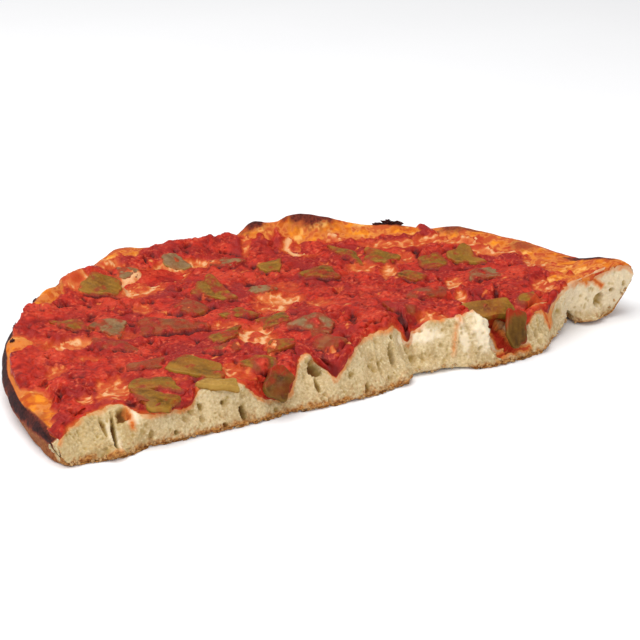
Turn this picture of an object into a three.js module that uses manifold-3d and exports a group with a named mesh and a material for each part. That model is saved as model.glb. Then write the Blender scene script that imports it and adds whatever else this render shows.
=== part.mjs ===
// Half of a round pizza baked in a tray: a thick bread base torn straight across the middle,
// a layer of tomato sauce over it and pieces of green pepper lying in the sauce.
//
// Millimetres, +Z up. While it is built, the torn edge lies near y = 0 along X, the bread reaches
// away from it along +Y, and z = 0 is the underside. The finished group is moved so that its
// origin is the middle of its box on the ground.

import * as THREE from 'three';
import { mergeVertices } from 'three/addons/utils/BufferGeometryUtils.js';
import Module from 'manifold-3d';

// Driving dimensions.
const LEFT_WIDTH = 149; // from the middle of the round to its left end
const RIGHT_WIDTH = 160; // and to its right end, where the rim leans out
const DEPTH = 170; // from the tear to the far rim
const MIDDLE_X = 4; // where the middle of the round lies along the tear
const LEFT_FULLNESS = 2.2; // exponent of the outline: 2 is an ellipse, more is squarer
const RIGHT_FULLNESS = 2;
const INNER_LEVEL = 18.3; // top of the dough well inside the rim
const SHOULDER = 7; // radius of the rounded top of the rim
const RIM_BAND = 26; // how far in from the outline the rim has sunk to the level of the sauce
const BLISTER_INSET = 9; // from the outline to the middle of a blister
const BLISTER_DEPTH = 8; // reach of a blister across the rim
const WALL_TUCK = 0.03; // share by which the foot of the rim lies further in than its top
const CORNER_TUCK = 0.012; // the same at the corners of the tear
const CORNER_REACH = 60; // how far from the tear the corners reach
const RIGHT_TUCK = 0.055; // what is added at the right end
const RIGHT_END_FROM = 100; // place along X where the right end begins
const TUCK_FROM = 0.85; // roundness beyond which the bread is drawn in
const TORN_AWAY = 3; // how much of the underside is missing beside the right chunk
const UNEVENNESS = 0.6; // of the dough's top
const LONG_WAVE = 34;
const CUT_LEVEL_TO = 15; // up to here the dough's top keeps its level at the tear
const INNER_LEVEL_FROM = 80; // and from here on it has the level of the middle
const RISE_TO_RIGHT = 0.01; // slope of the middle along X
const CLEARANCE = 0.3; // gap between neighbouring solids
const SAUCE_THICKNESS = 2.4;
const SAUCE_EDGE = 0.8; // thickness left at the outer edge of the sauce
const SAUCE_EDGE_SHARE = 0.12; // share of the way in that the edge takes at the rim
const SAUCE_SIDE_SHARE = 0.03; // and at the two ends
const SAUCE_WAVES = 0.8; // height of the waves in the sauce
const SHORT_WAVE = 17;
const SAUCE_SETBACK = 0.4; // of the sauce from the tear
const PEPPER_WALL = 3.2; // thickness of a piece of pepper
const PEPPER_GAP = 0.8; // a pepper stays this far above the dough, more than one facet sags
const CORNER_CUT = 0.32; // how much the corners of a pepper are rounded
const LONG_ARCH = 0.3; // arch along a pepper, as a share of the arch across it
const CUT_REACH = 4; // how far below a pepper its place in the sauce is cut

// The two ends of the bread stop where the round is still this share of its half width across.
const END_SHARE = 0.9945;
const LEFT_END = MIDDLE_X - END_SHARE * LEFT_WIDTH;
const RIGHT_END = MIDDLE_X + END_SHARE * RIGHT_WIDTH;

// How finely the two large solids are divided.
const STATIONS = 48; // along the tear
const RINGS = 8; // from the tear to the rim
const LAYERS = 3; // from the underside to the top
const SAUCE_STATIONS = 38;
const SAUCE_RINGS = 6;
const CROWDING = { stations: 0.25, rings: 0.6, sauceStations: 0.15, sauceRings: 0.5 };
const MIN_RING_REACH = 8; // least distance from the tear to the rim, where the two meet
const MIN_SAUCE_REACH = 6;

// Lines along the tear: [x, value], joined smoothly.
const THICKNESS = [[-146, 14.5], [-112, 17], [-60, 18], [-26, 20], [27, 25], [60, 22], [100, 20.5], [124, 23], [158, 25]];
const TOP_SETBACK = [
  [-146, 0], [-121, 14], [-100, 0], [-76, 6], [-50, 0], [-28, 8], [-18, 0], [26, 18], [46, 14], [68, 5], [86, 0],
  [102, 8], [122, 16], [138, 21], [158, 19],
];
const FOOT_SETBACK = [
  [-146, 0], [-134, -1], [-122, -5], [-114, -4], [-106, 0], [23, -1], [32, 7], [50, 6], [58, -2], [70, -3], [94, 0],
  [115, 10], [123, 22], [130, 24], [136, 20], [158, 20],
];

// Lines along the rim: [angle from the right end, value].
const RIM_TOP = [
  [0, 27.5], [8, 26.5], [16, 22.5], [28, 26.5], [38, 28.5], [44, 26.5], [55, 27], [78, 25], [100, 26.5], [112, 25.5],
  [125, 24], [140, 20.5], [160, 16], [180, 14.5],
];
const BARE_RIM = [
  [0, 30], [12, 20], [22, 13], [34, 8], [44, 11], [52, 6], [62, 17], [72, 13], [79, 4], [96, 4], [106, 7], [114, 5],
  [122, 9], [132, 6], [142, 9], [148, 4], [154, 9], [160, 4], [166, 13], [173, 9], [180, 9],
];
// Blisters of the rim: place round it, height and half width.
const BLISTERS = [
  { angle: 65, height: 7, width: 15 },
  { angle: 75, height: 4.5, width: 8 },
  { angle: 11, height: 2, width: 14 },
];

// Places where the tear dips: [x, reach into the bread, half width, depth].
const NOTCHES = [
  [-109, 5, 4, 4],
  [-92, 3, 4, 4],
  [-46, 6, 10, 11],
  [-18, 7, 4, 12],
  [35, 7, 5, 9],
  [81, 11, 11, 16.5],
];

// Peppers lying flat: [x, y, length, width, turn in degrees, arch].
const PEPPERS = [
  [-11, 144, 11, 9, -33, 1],
  [-55, 130, 22, 17, -45, 2],
  [-38, 141, 11, 7, -33, 1],
  [-76, 87, 15, 13, -60, 2],
  [-90, 98, 16, 8, -40, 1],
  [-54, 72, 26, 11, -20, 2],
  [-15, 98, 28, 15, -75, 3],
  [-85, 67, 20, 8, -50, 1],
  [-34, 89, 14, 12, -60, 2],
  [-69, 25, 27, 17, -58, 4],
  [-84, 40, 16, 7, -17, 1],
  [-91, 20, 19, 10, -40, 2],
  [-100, 5, 17, 12, -25, 2],
  [-63, 4, 15, 6, -30, 1],
  [22, 117, 11, 8, -10, 1],
  [39, 95, 16, 10, -12, 2],
  [-21, 70, 15, 7, -20, 1],
  [-12, 52, 14, 10, -10, 1],
  [-3, 31, 21, 15, -60, 3],
  [-39, 49, 15, 8, 0, 1],
  [-48, 36, 14, 7, -15, 1],
  [-24, 25, 12, 9, -20, 1],
  [-42, 14, 13, 9, -20, 1],
  [12, 133, 13, 7, -30, 1],
  [5, 90, 13, 8, -20, 1],
  [75, 97, 15, 11, -45, 2],
  [64, 109, 12, 7, -60, 1],
  [-9, 13, 12, 10, -50, 1],
  [92, 77, 13, 11, -20, 2],
  [107, 76, 11, 13, -20, 3],
  [72, 66, 13, 9, -50, 1],
  [102, 52, 13, 10, -10, 1],
  [61, 41, 18, 11, 5, 2],
  [80, 16, 20, 9, -25, 2],
  [99, 15, 9, 7, -15, 1],
  [38, 26, 13, 7, -40, 1],
];

// Peppers hanging over the tear: their middle, size, turn, forward tip and arch.
const HANGING_PEPPERS = [
  { x: -46, y: -1.5, z: 14, length: 15, width: 13, turn: 0, tip: 58, arch: 2 },
  { x: 80, y: -1, z: 16, length: 12, width: 19, turn: 4, tip: 68, arch: 2 },
];

const { clamp, lerp, smoothstep, degToRad, radToDeg } = THREE.MathUtils;

// Value at a place on a line of [place, value] pairs.
function along(line, place) {
  const next = line.findIndex(([at]) => at >= place);
  if (next === 0) return line[0][1];
  if (next < 0) return line[line.length - 1][1];
  const [from, low] = line[next - 1];
  const [to, high] = line[next];
  return lerp(low, high, smoothstep(place, from, to));
}

// Place along the tear, from -1 at the left end of the round to 1 at its right end.
function across(x) {
  return clamp((x - MIDDLE_X) / (x < MIDDLE_X ? LEFT_WIDTH : RIGHT_WIDTH), -1, 1);
}

function fullness(x) {
  return x < MIDDLE_X ? LEFT_FULLNESS : RIGHT_FULLNESS;
}

// Distance of the outline from the tear at x, for an outline drawn in by a share of the radius.
function outlineY(x, share = 1) {
  const power = fullness(x);
  const left = Math.max(share ** power - Math.abs(across(x)) ** power, 0);
  return DEPTH * left ** (1 / power);
}

// 0 at the middle of the round, 1 on its outline.
function roundness(x, y) {
  const power = fullness(x);
  const deep = Math.max(y, 0) / DEPTH;
  return (Math.abs(across(x)) ** power + deep ** power) ** (1 / power);
}

// Angle around the round from the right end of the tear, in degrees.
function angleAt(x, y) {
  return radToDeg(Math.atan2(Math.max(y, 0) / DEPTH, across(x)));
}

// Gentle unevenness between -1 and 1, with waves of the given length.
function waviness(x, y, wave) {
  const turn = (2 * Math.PI) / wave;
  const first = Math.sin(turn * (x + 0.35 * y) + 1.7 * Math.sin(turn * 0.43 * y));
  const second = Math.sin(turn * (0.91 * y - 0.27 * x) + 1.3 * Math.sin(turn * 0.37 * x + 2));
  return 0.5 * (first + second);
}

// Level of the dough's top at (x, y).
function doughTop(x, y) {
  const edge = Math.max((1 - roundness(x, y)) * LEFT_WIDTH, 0);
  const angle = angleAt(x, y);
  const cutLevel = along(THICKNESS, x) - SAUCE_THICKNESS * 0.5;
  const middle = INNER_LEVEL + RISE_TO_RIGHT * x;
  const inner =
    lerp(cutLevel, middle, smoothstep(y, CUT_LEVEL_TO, INNER_LEVEL_FROM)) + UNEVENNESS * waviness(x, y, LONG_WAVE);
  const blister = BLISTERS.reduce((sum, { angle: place, height, width }) => {
    const aside = degToRad(angle - place) * LEFT_WIDTH;
    const across2 = ((edge - BLISTER_INSET) / BLISTER_DEPTH) ** 2;
    return sum + height * Math.exp(-((aside / width) ** 2) - across2);
  }, 0);
  const rim = along(RIM_TOP, angle) - 1 + blister;
  const level = lerp(rim, inner, smoothstep(edge, 6, RIM_BAND));
  const notch = NOTCHES.reduce((sum, [place, reach, half, depth]) => {
    const inwards = Math.max(y - along(TOP_SETBACK, place), 0);
    return sum + depth * Math.exp(-(((x - place) / half) ** 4) - (inwards / reach) ** 2);
  }, 0);
  const round = Math.max(1 - edge / SHOULDER, 0);
  const drop = SHOULDER * (1 - Math.sqrt(1 - round ** 2));
  return level - notch - drop;
}

// Moves each vertex of a box one unit across to its place in the food.
function shaped(geometry, place) {
  geometry.deleteAttribute('normal');
  geometry.deleteAttribute('uv');
  const merged = mergeVertices(geometry);
  const spots = merged.attributes.position;
  const spot = new THREE.Vector3();
  for (let i = 0; i < spots.count; i += 1) {
    spot.fromBufferAttribute(spots, i);
    place(spot);
    spots.setXYZ(i, spot.x, spot.y, spot.z);
  }
  merged.computeVertexNormals();
  return merged;
}

// Even steps from -0.5 to 0.5 become steps that are closer together at both ends.
function crowdedEnds(step, share) {
  return lerp(step, 0.5 * Math.sin(Math.PI * step), share);
}

// The tear at x: its foot on the ground, its top edge set back, the face bulging a little.
function tearY(x, height) {
  const bulge = 1.3;
  return lerp(along(FOOT_SETBACK, x), along(TOP_SETBACK, x), height ** bulge);
}

function breadGeometry() {
  const box = new THREE.BoxGeometry(1, 1, 1, STATIONS, RINGS, LAYERS);
  return shaped(box, (spot) => {
    const x = lerp(LEFT_END, RIGHT_END, crowdedEnds(spot.x, CROWDING.stations) + 0.5);
    const inwards = crowdedEnds(spot.y, CROWDING.rings) + 0.5;
    const height = spot.z + 0.5;
    const topTear = along(TOP_SETBACK, x);
    const topY = lerp(topTear, Math.max(outlineY(x), topTear + MIN_RING_REACH), inwards);
    const tear = tearY(x, height);
    const y = lerp(tear, Math.max(outlineY(x), tear + MIN_RING_REACH), inwards);
    const atCorner = lerp(CORNER_TUCK, WALL_TUCK, smoothstep(y, 0, CORNER_REACH));
    const tuck = atCorner + RIGHT_TUCK * smoothstep(x, RIGHT_END_FROM, RIGHT_END);
    const foot = 1 - tuck * (1 - height) ** 1.5 * smoothstep(roundness(x, y), TUCK_FROM, 1);
    const beside = smoothstep(x, 114, 123) * (1 - smoothstep(x, 131, 138));
    const lift = TORN_AWAY * beside * (1 - inwards);
    spot.set(MIDDLE_X + (x - MIDDLE_X) * foot, y * foot, lerp(lift, doughTop(x, topY), height));
  });
}

function sauceRimY(x) {
  const angle = radToDeg(Math.acos(across(x)));
  return outlineY(x, 1 - along(BARE_RIM, angle) / LEFT_WIDTH);
}

function sauceGeometry() {
  const left = MIDDLE_X - LEFT_WIDTH + along(BARE_RIM, 180);
  const right = MIDDLE_X + RIGHT_WIDTH - along(BARE_RIM, 0);
  const box = new THREE.BoxGeometry(1, 1, 1, SAUCE_STATIONS, SAUCE_RINGS, 1);
  return shaped(box, (spot) => {
    const x = lerp(left, right, crowdedEnds(spot.x, CROWDING.sauceStations) + 0.5);
    const inwards = crowdedEnds(spot.y, CROWDING.sauceRings) + 0.5;
    const front = along(TOP_SETBACK, x) + SAUCE_SETBACK;
    const y = lerp(front, Math.max(sauceRimY(x), front + MIN_SAUCE_REACH), inwards);
    const fromEnd = 0.5 - Math.abs(spot.x);
    const fade = smoothstep(1 - inwards, 0, SAUCE_EDGE_SHARE) * smoothstep(fromEnd, 0, SAUCE_SIDE_SHARE);
    const full = SAUCE_THICKNESS + SAUCE_WAVES * waviness(x, y, SHORT_WAVE);
    const thickness = lerp(SAUCE_EDGE, full, fade);
    spot.set(x, y, doughTop(x, y) + (spot.z > 0 ? thickness : -1));
  });
}

// A piece of pepper wall: a slab with rounded corners, arched across its width. A grown one, with a
// longer reach downwards, cuts its place out of the sauce.
function pepperGeometry(length, width, arch, grow = 0, reach = 0) {
  const box = new THREE.BoxGeometry(2, 2, 1, 3, 2, 1);
  return shaped(box, (spot) => {
    const x = spot.x * Math.sqrt(1 - CORNER_CUT * spot.y ** 2) * (length / 2 + grow);
    const y = spot.y * Math.sqrt(1 - CORNER_CUT * spot.x ** 2) * (width / 2 + grow);
    const drop = arch * (spot.y ** 2 + LONG_ARCH * spot.x ** 2);
    const top = PEPPER_WALL + grow;
    spot.set(x, y, (spot.z > 0 ? top : -grow - reach) - drop);
  });
}

// How a piece lies on the sloping dough: upright on the slope, then turned.
function lyingTurn(x, y, turn) {
  const step = 3;
  const slopeX = (doughTop(x + step, y) - doughTop(x - step, y)) / (2 * step);
  const slopeY = (doughTop(x, y + step) - doughTop(x, y - step)) / (2 * step);
  const up = new THREE.Vector3(-slopeX, -slopeY, 1).normalize();
  const lean = new THREE.Quaternion().setFromUnitVectors(new THREE.Vector3(0, 0, 1), up);
  const spin = new THREE.Quaternion().setFromAxisAngle(new THREE.Vector3(0, 0, 1), degToRad(turn));
  return lean.multiply(spin);
}

// Height at which a piece rests on the dough without touching it.
function restingHeight(geometry, x, y, quaternion) {
  const spots = geometry.attributes.position;
  const spot = new THREE.Vector3();
  let highest = -Infinity;
  for (let i = 0; i < spots.count; i += 1) {
    spot.fromBufferAttribute(spots, i).applyQuaternion(quaternion);
    highest = Math.max(highest, doughTop(x + spot.x, y + spot.y) + PEPPER_GAP - spot.z);
  }
  return highest;
}

const wasm = await Module();
wasm.setup();

function solidOf(geometry) {
  return new wasm.Manifold(
    new wasm.Mesh({
      numProp: 3,
      vertProperties: new Float32Array(geometry.attributes.position.array),
      triVerts: new Uint32Array(geometry.index.array),
    }),
  );
}

function geometryOf(solid) {
  const { vertProperties, triVerts } = solid.getMesh();
  const geometry = new THREE.BufferGeometry();
  geometry.setAttribute('position', new THREE.BufferAttribute(vertProperties, 3));
  geometry.setIndex(new THREE.BufferAttribute(triVerts, 1));
  geometry.computeVertexNormals();
  return geometry;
}

// The largest of the loose bodies that a cut leaves.
function mainBody(solid) {
  return solid.decompose().reduce((best, body) => (body.volume() > best.volume() ? body : best));
}

function material(color, roughness) {
  return new THREE.MeshStandardMaterial({ color, roughness, metalness: 0 });
}

const breadMaterial = material('#d9b57a', 0.85);
const sauceMaterial = material('#b8342e', 0.45);
const pepperMaterial = material('#8a7a35', 0.4);

function named(name, geometry, surface) {
  const mesh = new THREE.Mesh(geometry, surface);
  mesh.name = name;
  return mesh;
}

const bread = named('bread', breadGeometry(), breadMaterial);

const peppers = PEPPERS.map(([x, y, length, width, turn, arch], index) => {
  const geometry = pepperGeometry(length, width, arch);
  const mesh = named(`pepper_${String(index + 1).padStart(2, '0')}`, geometry, pepperMaterial);
  mesh.quaternion.copy(lyingTurn(x, y, turn));
  mesh.position.set(x, y, restingHeight(geometry, x, y, mesh.quaternion));
  mesh.userData.cutter = pepperGeometry(length, width, arch, CLEARANCE, CUT_REACH);
  return mesh;
});

const hangingPeppers = HANGING_PEPPERS.map((piece, index) => {
  const geometry = pepperGeometry(piece.length, piece.width, piece.arch);
  const mesh = named(`pepper_hanging_${index + 1}`, geometry, pepperMaterial);
  mesh.rotation.set(degToRad(piece.tip), 0, degToRad(piece.turn), 'ZXY');
  mesh.position.set(piece.x, piece.y, piece.z);
  mesh.userData.cutter = pepperGeometry(piece.length, piece.width, piece.arch, CLEARANCE, 0);
  return mesh;
});

// The sauce lies on the dough and leaves room for every pepper.
function cutSauce() {
  const raised = solidOf(bread.geometry).translate([0, 0, CLEARANCE]);
  let sauce = solidOf(sauceGeometry()).subtract(raised);
  [...peppers, ...hangingPeppers].forEach((mesh) => {
    mesh.updateMatrix();
    sauce = sauce.subtract(solidOf(mesh.userData.cutter.clone().applyMatrix4(mesh.matrix)));
  });
  return geometryOf(mainBody(sauce));
}

const pizza = new THREE.Group();
pizza.add(bread, named('tomato_sauce', cutSauce(), sauceMaterial), ...peppers, ...hangingPeppers);

const bounds = new THREE.Box3().setFromObject(pizza);
const middle = bounds.getCenter(new THREE.Vector3());
pizza.position.set(-middle.x, -middle.y, -bounds.min.z);

export default pizza;
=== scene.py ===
# %% [markdown]
# # Half of a round tray pizza
# This is half of a thick pizza that was baked in a round tray and then torn across the middle. It
# has four things to get right: bread that is pale and full of holes where it is torn, a rim that is
# orange on top and burnt black down its side, a pulpy layer of tomato sauce that thins out to dough
# in places, and soft pieces of roasted green pepper lying in that sauce.
#
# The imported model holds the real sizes. It is loaded first and never changed. Every piece made
# below takes its place and its coarse form from it, and adds the fine surface.

# %% Load the frame
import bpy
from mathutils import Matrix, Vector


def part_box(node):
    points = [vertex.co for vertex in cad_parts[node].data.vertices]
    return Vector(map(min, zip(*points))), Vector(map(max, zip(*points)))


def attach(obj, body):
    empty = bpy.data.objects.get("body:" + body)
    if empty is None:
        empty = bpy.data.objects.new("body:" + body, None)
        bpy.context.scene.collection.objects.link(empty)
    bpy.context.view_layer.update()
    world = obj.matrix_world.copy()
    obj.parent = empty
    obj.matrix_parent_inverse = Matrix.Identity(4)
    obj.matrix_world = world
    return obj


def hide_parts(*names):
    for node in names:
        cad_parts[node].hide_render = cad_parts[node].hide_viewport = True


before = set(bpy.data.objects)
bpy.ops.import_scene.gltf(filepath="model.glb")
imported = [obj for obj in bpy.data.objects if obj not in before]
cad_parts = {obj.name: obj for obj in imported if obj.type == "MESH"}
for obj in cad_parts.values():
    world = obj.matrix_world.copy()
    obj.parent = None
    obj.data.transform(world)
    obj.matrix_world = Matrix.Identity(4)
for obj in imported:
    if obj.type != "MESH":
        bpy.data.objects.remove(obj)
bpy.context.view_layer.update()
print("nodes:", len(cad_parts))

# %% Libraries
import math

import bmesh
import bpy
import numpy as np
from mathutils import Vector, noise
from mathutils.bvhtree import BVHTree

MM = 0.001  # metres in a millimetre: shapes are worked out in millimetres
PEPPERS = sorted(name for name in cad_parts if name.startswith("pepper"))
low, high = (np.array(corner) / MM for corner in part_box("bread"))
print("bread from", low.round(1), "to", high.round(1), "mm, with", len(PEPPERS), "peppers")

# %% [markdown]
# ## Camera, floor and light
# The food is seen from a little above and from its left, through a long lens, as a product
# picture is taken. The floor is a plain pale table. Two very large soft lamps light it: one hangs
# overhead and draws the relief of the sauce, the other stands in front and fills the torn face.
# The room itself is dim, because the low view would otherwise wash the red out with reflections.

# %% Camera
AZIMUTH, ELEVATION = math.radians(-32.7), math.radians(20.1)
DISTANCE = 1.05  # metres from the aim point
SENSOR, LENS = 36.0, 130.4  # mm
aim = Vector((0.0091, -0.0187, 0.012))
away = Vector((
    math.sin(AZIMUTH) * math.cos(ELEVATION),
    -math.cos(AZIMUTH) * math.cos(ELEVATION),
    math.sin(ELEVATION),
))
camera = bpy.data.objects.new("camera", bpy.data.cameras.new("camera"))
bpy.context.scene.collection.objects.link(camera)
camera.location = aim + away * DISTANCE
camera.rotation_euler = away.to_track_quat("Z", "Y").to_euler()
camera.data.sensor_width = SENSOR
camera.data.lens = LENS
bpy.context.scene.camera = camera
print("camera at", [round(v, 3) for v in camera.location])

# %% A way to add a node with its settings and links
def linear(code):
    """An sRGB hex colour as linear values with full opacity."""
    parts = [int(code[i:i + 2], 16) / 255 for i in (1, 3, 5)]
    return tuple(((p + 0.055) / 1.055) ** 2.4 if p > 0.04045 else p / 12.92 for p in parts) + (1.0,)


def add(tree, kind, settings=None, inputs=None):
    """Adds one node. An input given as a socket is linked, and any other value is set."""
    node = tree.nodes.new(kind)
    for name, value in (settings or {}).items():
        setattr(node, name, value)
    for key, value in (inputs or {}).items():
        if isinstance(value, bpy.types.NodeSocket):
            tree.links.new(value, node.inputs[key])
        else:
            node.inputs[key].default_value = value
    return node


SHARE, FIRST, SECOND, MIX = 0, 6, 7, 2  # sockets of a mix node that is set to colours


def mixed(tree, share, first, second):
    """Colour output that goes from the first colour to the second by a share from 0 to 1."""
    ends = [linear(end) if isinstance(end, str) else end for end in (first, second)]
    inputs = {SHARE: share, FIRST: ends[0], SECOND: ends[1]}
    return add(tree, "ShaderNodeMix", {"data_type": "RGBA"}, inputs).outputs[MIX]


def new_material(name):
    """A material with an empty node tree."""
    material = bpy.data.materials.new(name)
    material.use_nodes = True
    material.node_tree.nodes.clear()
    return material, material.node_tree

# %% Floor
FLOOR_HALF = 3.0  # metres
table_finish, tree = new_material("pale_laminate_table")
cloud = add(tree, "ShaderNodeTexNoise", {}, {"Scale": 40.0, "Detail": 3.0}).outputs[0]
tint = mixed(tree, cloud, "#F4F4F5", "#F9F9FA")
shader = add(tree, "ShaderNodeBsdfPrincipled", {}, {"Base Color": tint, "Roughness": 0.8})
add(tree, "ShaderNodeOutputMaterial", {}, {"Surface": shader.outputs[0]})

table = bmesh.new()
bmesh.ops.create_grid(table, x_segments=1, y_segments=1, size=FLOOR_HALF)
floor = bpy.data.objects.new("floor", bpy.data.meshes.new("floor"))
table.to_mesh(floor.data)
table.free()
bpy.context.scene.collection.objects.link(floor)
floor.data.materials.append(table_finish)
print("floor", 2 * FLOOR_HALF, "m wide")

# %% Lamps
ROOM_LIGHT = 0.42  # strength of the even light of the room


def lamp(name, place, size, power):
    """A square soft lamp that shines at the food, of a size in metres and a power in watts."""
    data = bpy.data.lights.new(name, "AREA")
    data.size = size
    data.energy = power
    light = bpy.data.objects.new(name, data)
    bpy.context.scene.collection.objects.link(light)
    light.location = place
    light.rotation_euler = (Vector(place) - aim).to_track_quat("Z", "Y").to_euler()
    print(name, "lamp at", place, "m")


lamp("overhead", place=(-0.35, 0.1, 1.2), size=1.5, power=18.5)
lamp("front_fill", place=(-0.6, -1.6, 0.9), size=1.2, power=14.0)
world = bpy.data.worlds.new("studio")
world.use_nodes = True
world.node_tree.nodes["Background"].inputs["Color"].default_value = (1, 1, 1, 1)
world.node_tree.nodes["Background"].inputs["Strength"].default_value = ROOM_LIGHT
bpy.context.scene.world = world
bpy.context.scene.view_settings.view_transform = "Standard"

# %% [markdown]
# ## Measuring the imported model
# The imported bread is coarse, with flat faces a few millimetres wide. A fine skin could be cut from
# it with a subdivision modifier, but that shrinks thin edges and spreads its vertices evenly over
# places that nobody looks at. Instead rays are cast at the solid, as a scanner does, on a grid that
# is dense where the bread is torn, and the readings are smoothed.

# %% Scanner
ABOVE, BELOW = 100.0, -50.0  # heights in mm from which rays are cast down and up
DOWN, UP = (0, 0, -1), (0, 0, 1)


def search_tree(piece):
    """A search tree in millimetres over a merged copy of an object."""
    copy = bmesh.new()
    copy.from_mesh(piece.data)
    bmesh.ops.remove_doubles(copy, verts=copy.verts, dist=1e-6)
    bmesh.ops.scale(copy, vec=(1 / MM,) * 3, verts=copy.verts)
    found = BVHTree.FromBMesh(copy)
    copy.free()
    return found


def scan(tree, start, direction):
    """The first point that a ray meets, or three NaNs."""
    place = tree.ray_cast(Vector(start), Vector(direction))[0]
    return (math.nan,) * 3 if place is None else tuple(place)


def level_at(tree, x, y):
    """Height of the surface at a point of the plan, or NaN."""
    return scan(tree, (x, y, ABOVE), DOWN)[2]


def levels(tree, plan):
    """Heights of the surface over an array of plan points."""
    found = [level_at(tree, *spot) for spot in plan.reshape(-1, 2).tolist()]
    return np.array(found).reshape(plan.shape[:-1])


def filled(values):
    """Gaps in a row of readings are bridged in a straight line."""
    known = np.isfinite(values)
    places = np.arange(len(values))
    return np.interp(places, places[known], values[known]) if known.any() else np.zeros(len(values))


def smoothed(values, spread, axis=0, ring=False):
    """Gaussian average along one axis, for a spread in steps; a ring joins its two ends."""
    reach = int(3 * spread) + 1
    weights = np.exp(-0.5 * (np.arange(-reach, reach + 1) / spread) ** 2)
    weights /= weights.sum()
    pad = [(0, 0)] * values.ndim
    pad[axis] = (reach, reach)
    padded = np.pad(values, pad, mode="wrap" if ring else "edge")
    count = values.shape[axis]
    return sum(w * np.take(padded, range(i, i + count), axis) for i, w in enumerate(weights))


def blurred(values, along, across):
    """Gaussian average of a grid in both directions."""
    return smoothed(smoothed(values, along), across, axis=1)


bread_scan = search_tree(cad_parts["bread"])
print("the bread is", round(level_at(bread_scan, 0, 0), 1), "mm high at the middle")

# %% [markdown]
# ## Stations
# The half round is covered by stations. Each one is a straight line on the ground from a point of
# the tear to a point of the rim, and the points walk along the tear and round the rim together, so
# both corners are covered as well as the middle. Both lines are found by feeling from outside for
# the first place that lies under the bread, seen from above.

# %% Stations
BASE = 450  # stations that are measured: any other number is read between them
END_GAP = 0.5  # mm left free at both ends of the tear
FEEL_STEP, FEEL_HALVINGS = 2.0, 5  # mm, and how often the last step is halved
TEAR_REACH, RIM_REACH = 90.0, 190.0  # mm that is felt in search of each line
HEART_BEHIND = 40.0  # mm from the tear to the point that the rim is felt from
LINE_SPREAD = 3  # stations over which both lines are smoothed
share = np.linspace(0, 1, BASE)


def first_bread(start, way, reach):
    """How far along a line on the plan the bread begins, or NaN."""
    for out in np.arange(0, reach, FEEL_STEP):
        if math.isfinite(level_at(bread_scan, *(start + way * out))):
            outside, inside = out - FEEL_STEP, out
            for _ in range(FEEL_HALVINGS):
                middle = (outside + inside) / 2
                if math.isfinite(level_at(bread_scan, *(start + way * middle))):
                    inside = middle
                else:
                    outside = middle
            return inside
    return math.nan


tear_x = low[0] + END_GAP + (high[0] - low[0] - 2 * END_GAP) * share
before_tear = low[1] - 1
forward = np.array((0.0, 1.0))
found = [first_bread(np.array((x, before_tear)), forward, TEAR_REACH) for x in tear_x]
tear = np.stack((tear_x, smoothed(before_tear + filled(np.array(found)), LINE_SPREAD)), 1)
heart = np.array(((low[0] + high[0]) / 2, tear[BASE // 2, 1] + HEART_BEHIND))
start_angle = math.atan2(tear[0, 1] - heart[1], tear[0, 0] - heart[0]) % (2 * math.pi)
end_angle = math.atan2(tear[-1, 1] - heart[1], tear[-1, 0] - heart[0])
rim = []
for angle in start_angle + (end_angle - start_angle) * share:
    ray = np.array((math.cos(angle), math.sin(angle)))
    start = heart + RIM_REACH * ray
    rim.append(start - ray * first_bread(start, -ray, RIM_REACH))
rim = np.stack([smoothed(filled(column), LINE_SPREAD) for column in np.array(rim).T], 1)


def stations(count):
    """Starts, directions and lengths of a number of lines from the tear to the rim."""
    at = np.linspace(0, 1, count)
    starts, ends = (
        np.stack([np.interp(at, share, line[:, k]) for k in (0, 1)], 1) for line in (tear, rim)
    )
    reach = np.linalg.norm(ends - starts, axis=1)
    return starts, (ends - starts) / np.maximum(reach, 1e-3)[:, None], reach


print("longest station:", stations(BASE)[2].max().round(1), "mm")

# %% [markdown]
# ## Sections
# Over each station the bread is cut in one section, which is walked all the way round: along the
# underside to the foot of the tear, up the torn face, back over the top and down the rim. Near the
# tear and near the rim the rays fan out from a point inside the bread, which follows round edges
# and overhangs that straight rays miss.

# %% Sections
BEHIND_TEAR, INSIDE_RIM = 26.0, 15.0  # mm in from each edge to the middle of its fan
NEAR_ENDS = 0.45  # and no more than this share of a short station
HUB_SHARE = 0.35  # height of a fan's middle, as a share of the bread's thickness there
BRIM = 30.0  # mm of the top, next to the rim, that has closer rows
LIP = 2.2  # height in mm of the strip at the foot of the tear where the bottom crust shows
USUAL_TOP = 12.0  # mm, where no reading is found


def thickness_at(spot):
    """Levels of the underside and the top over a point of the plan."""
    under, over = scan(bread_scan, (*spot, BELOW), UP)[2], level_at(bread_scan, *spot)
    return (under, over) if math.isfinite(over) else (0.0, USUAL_TOP)


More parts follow.
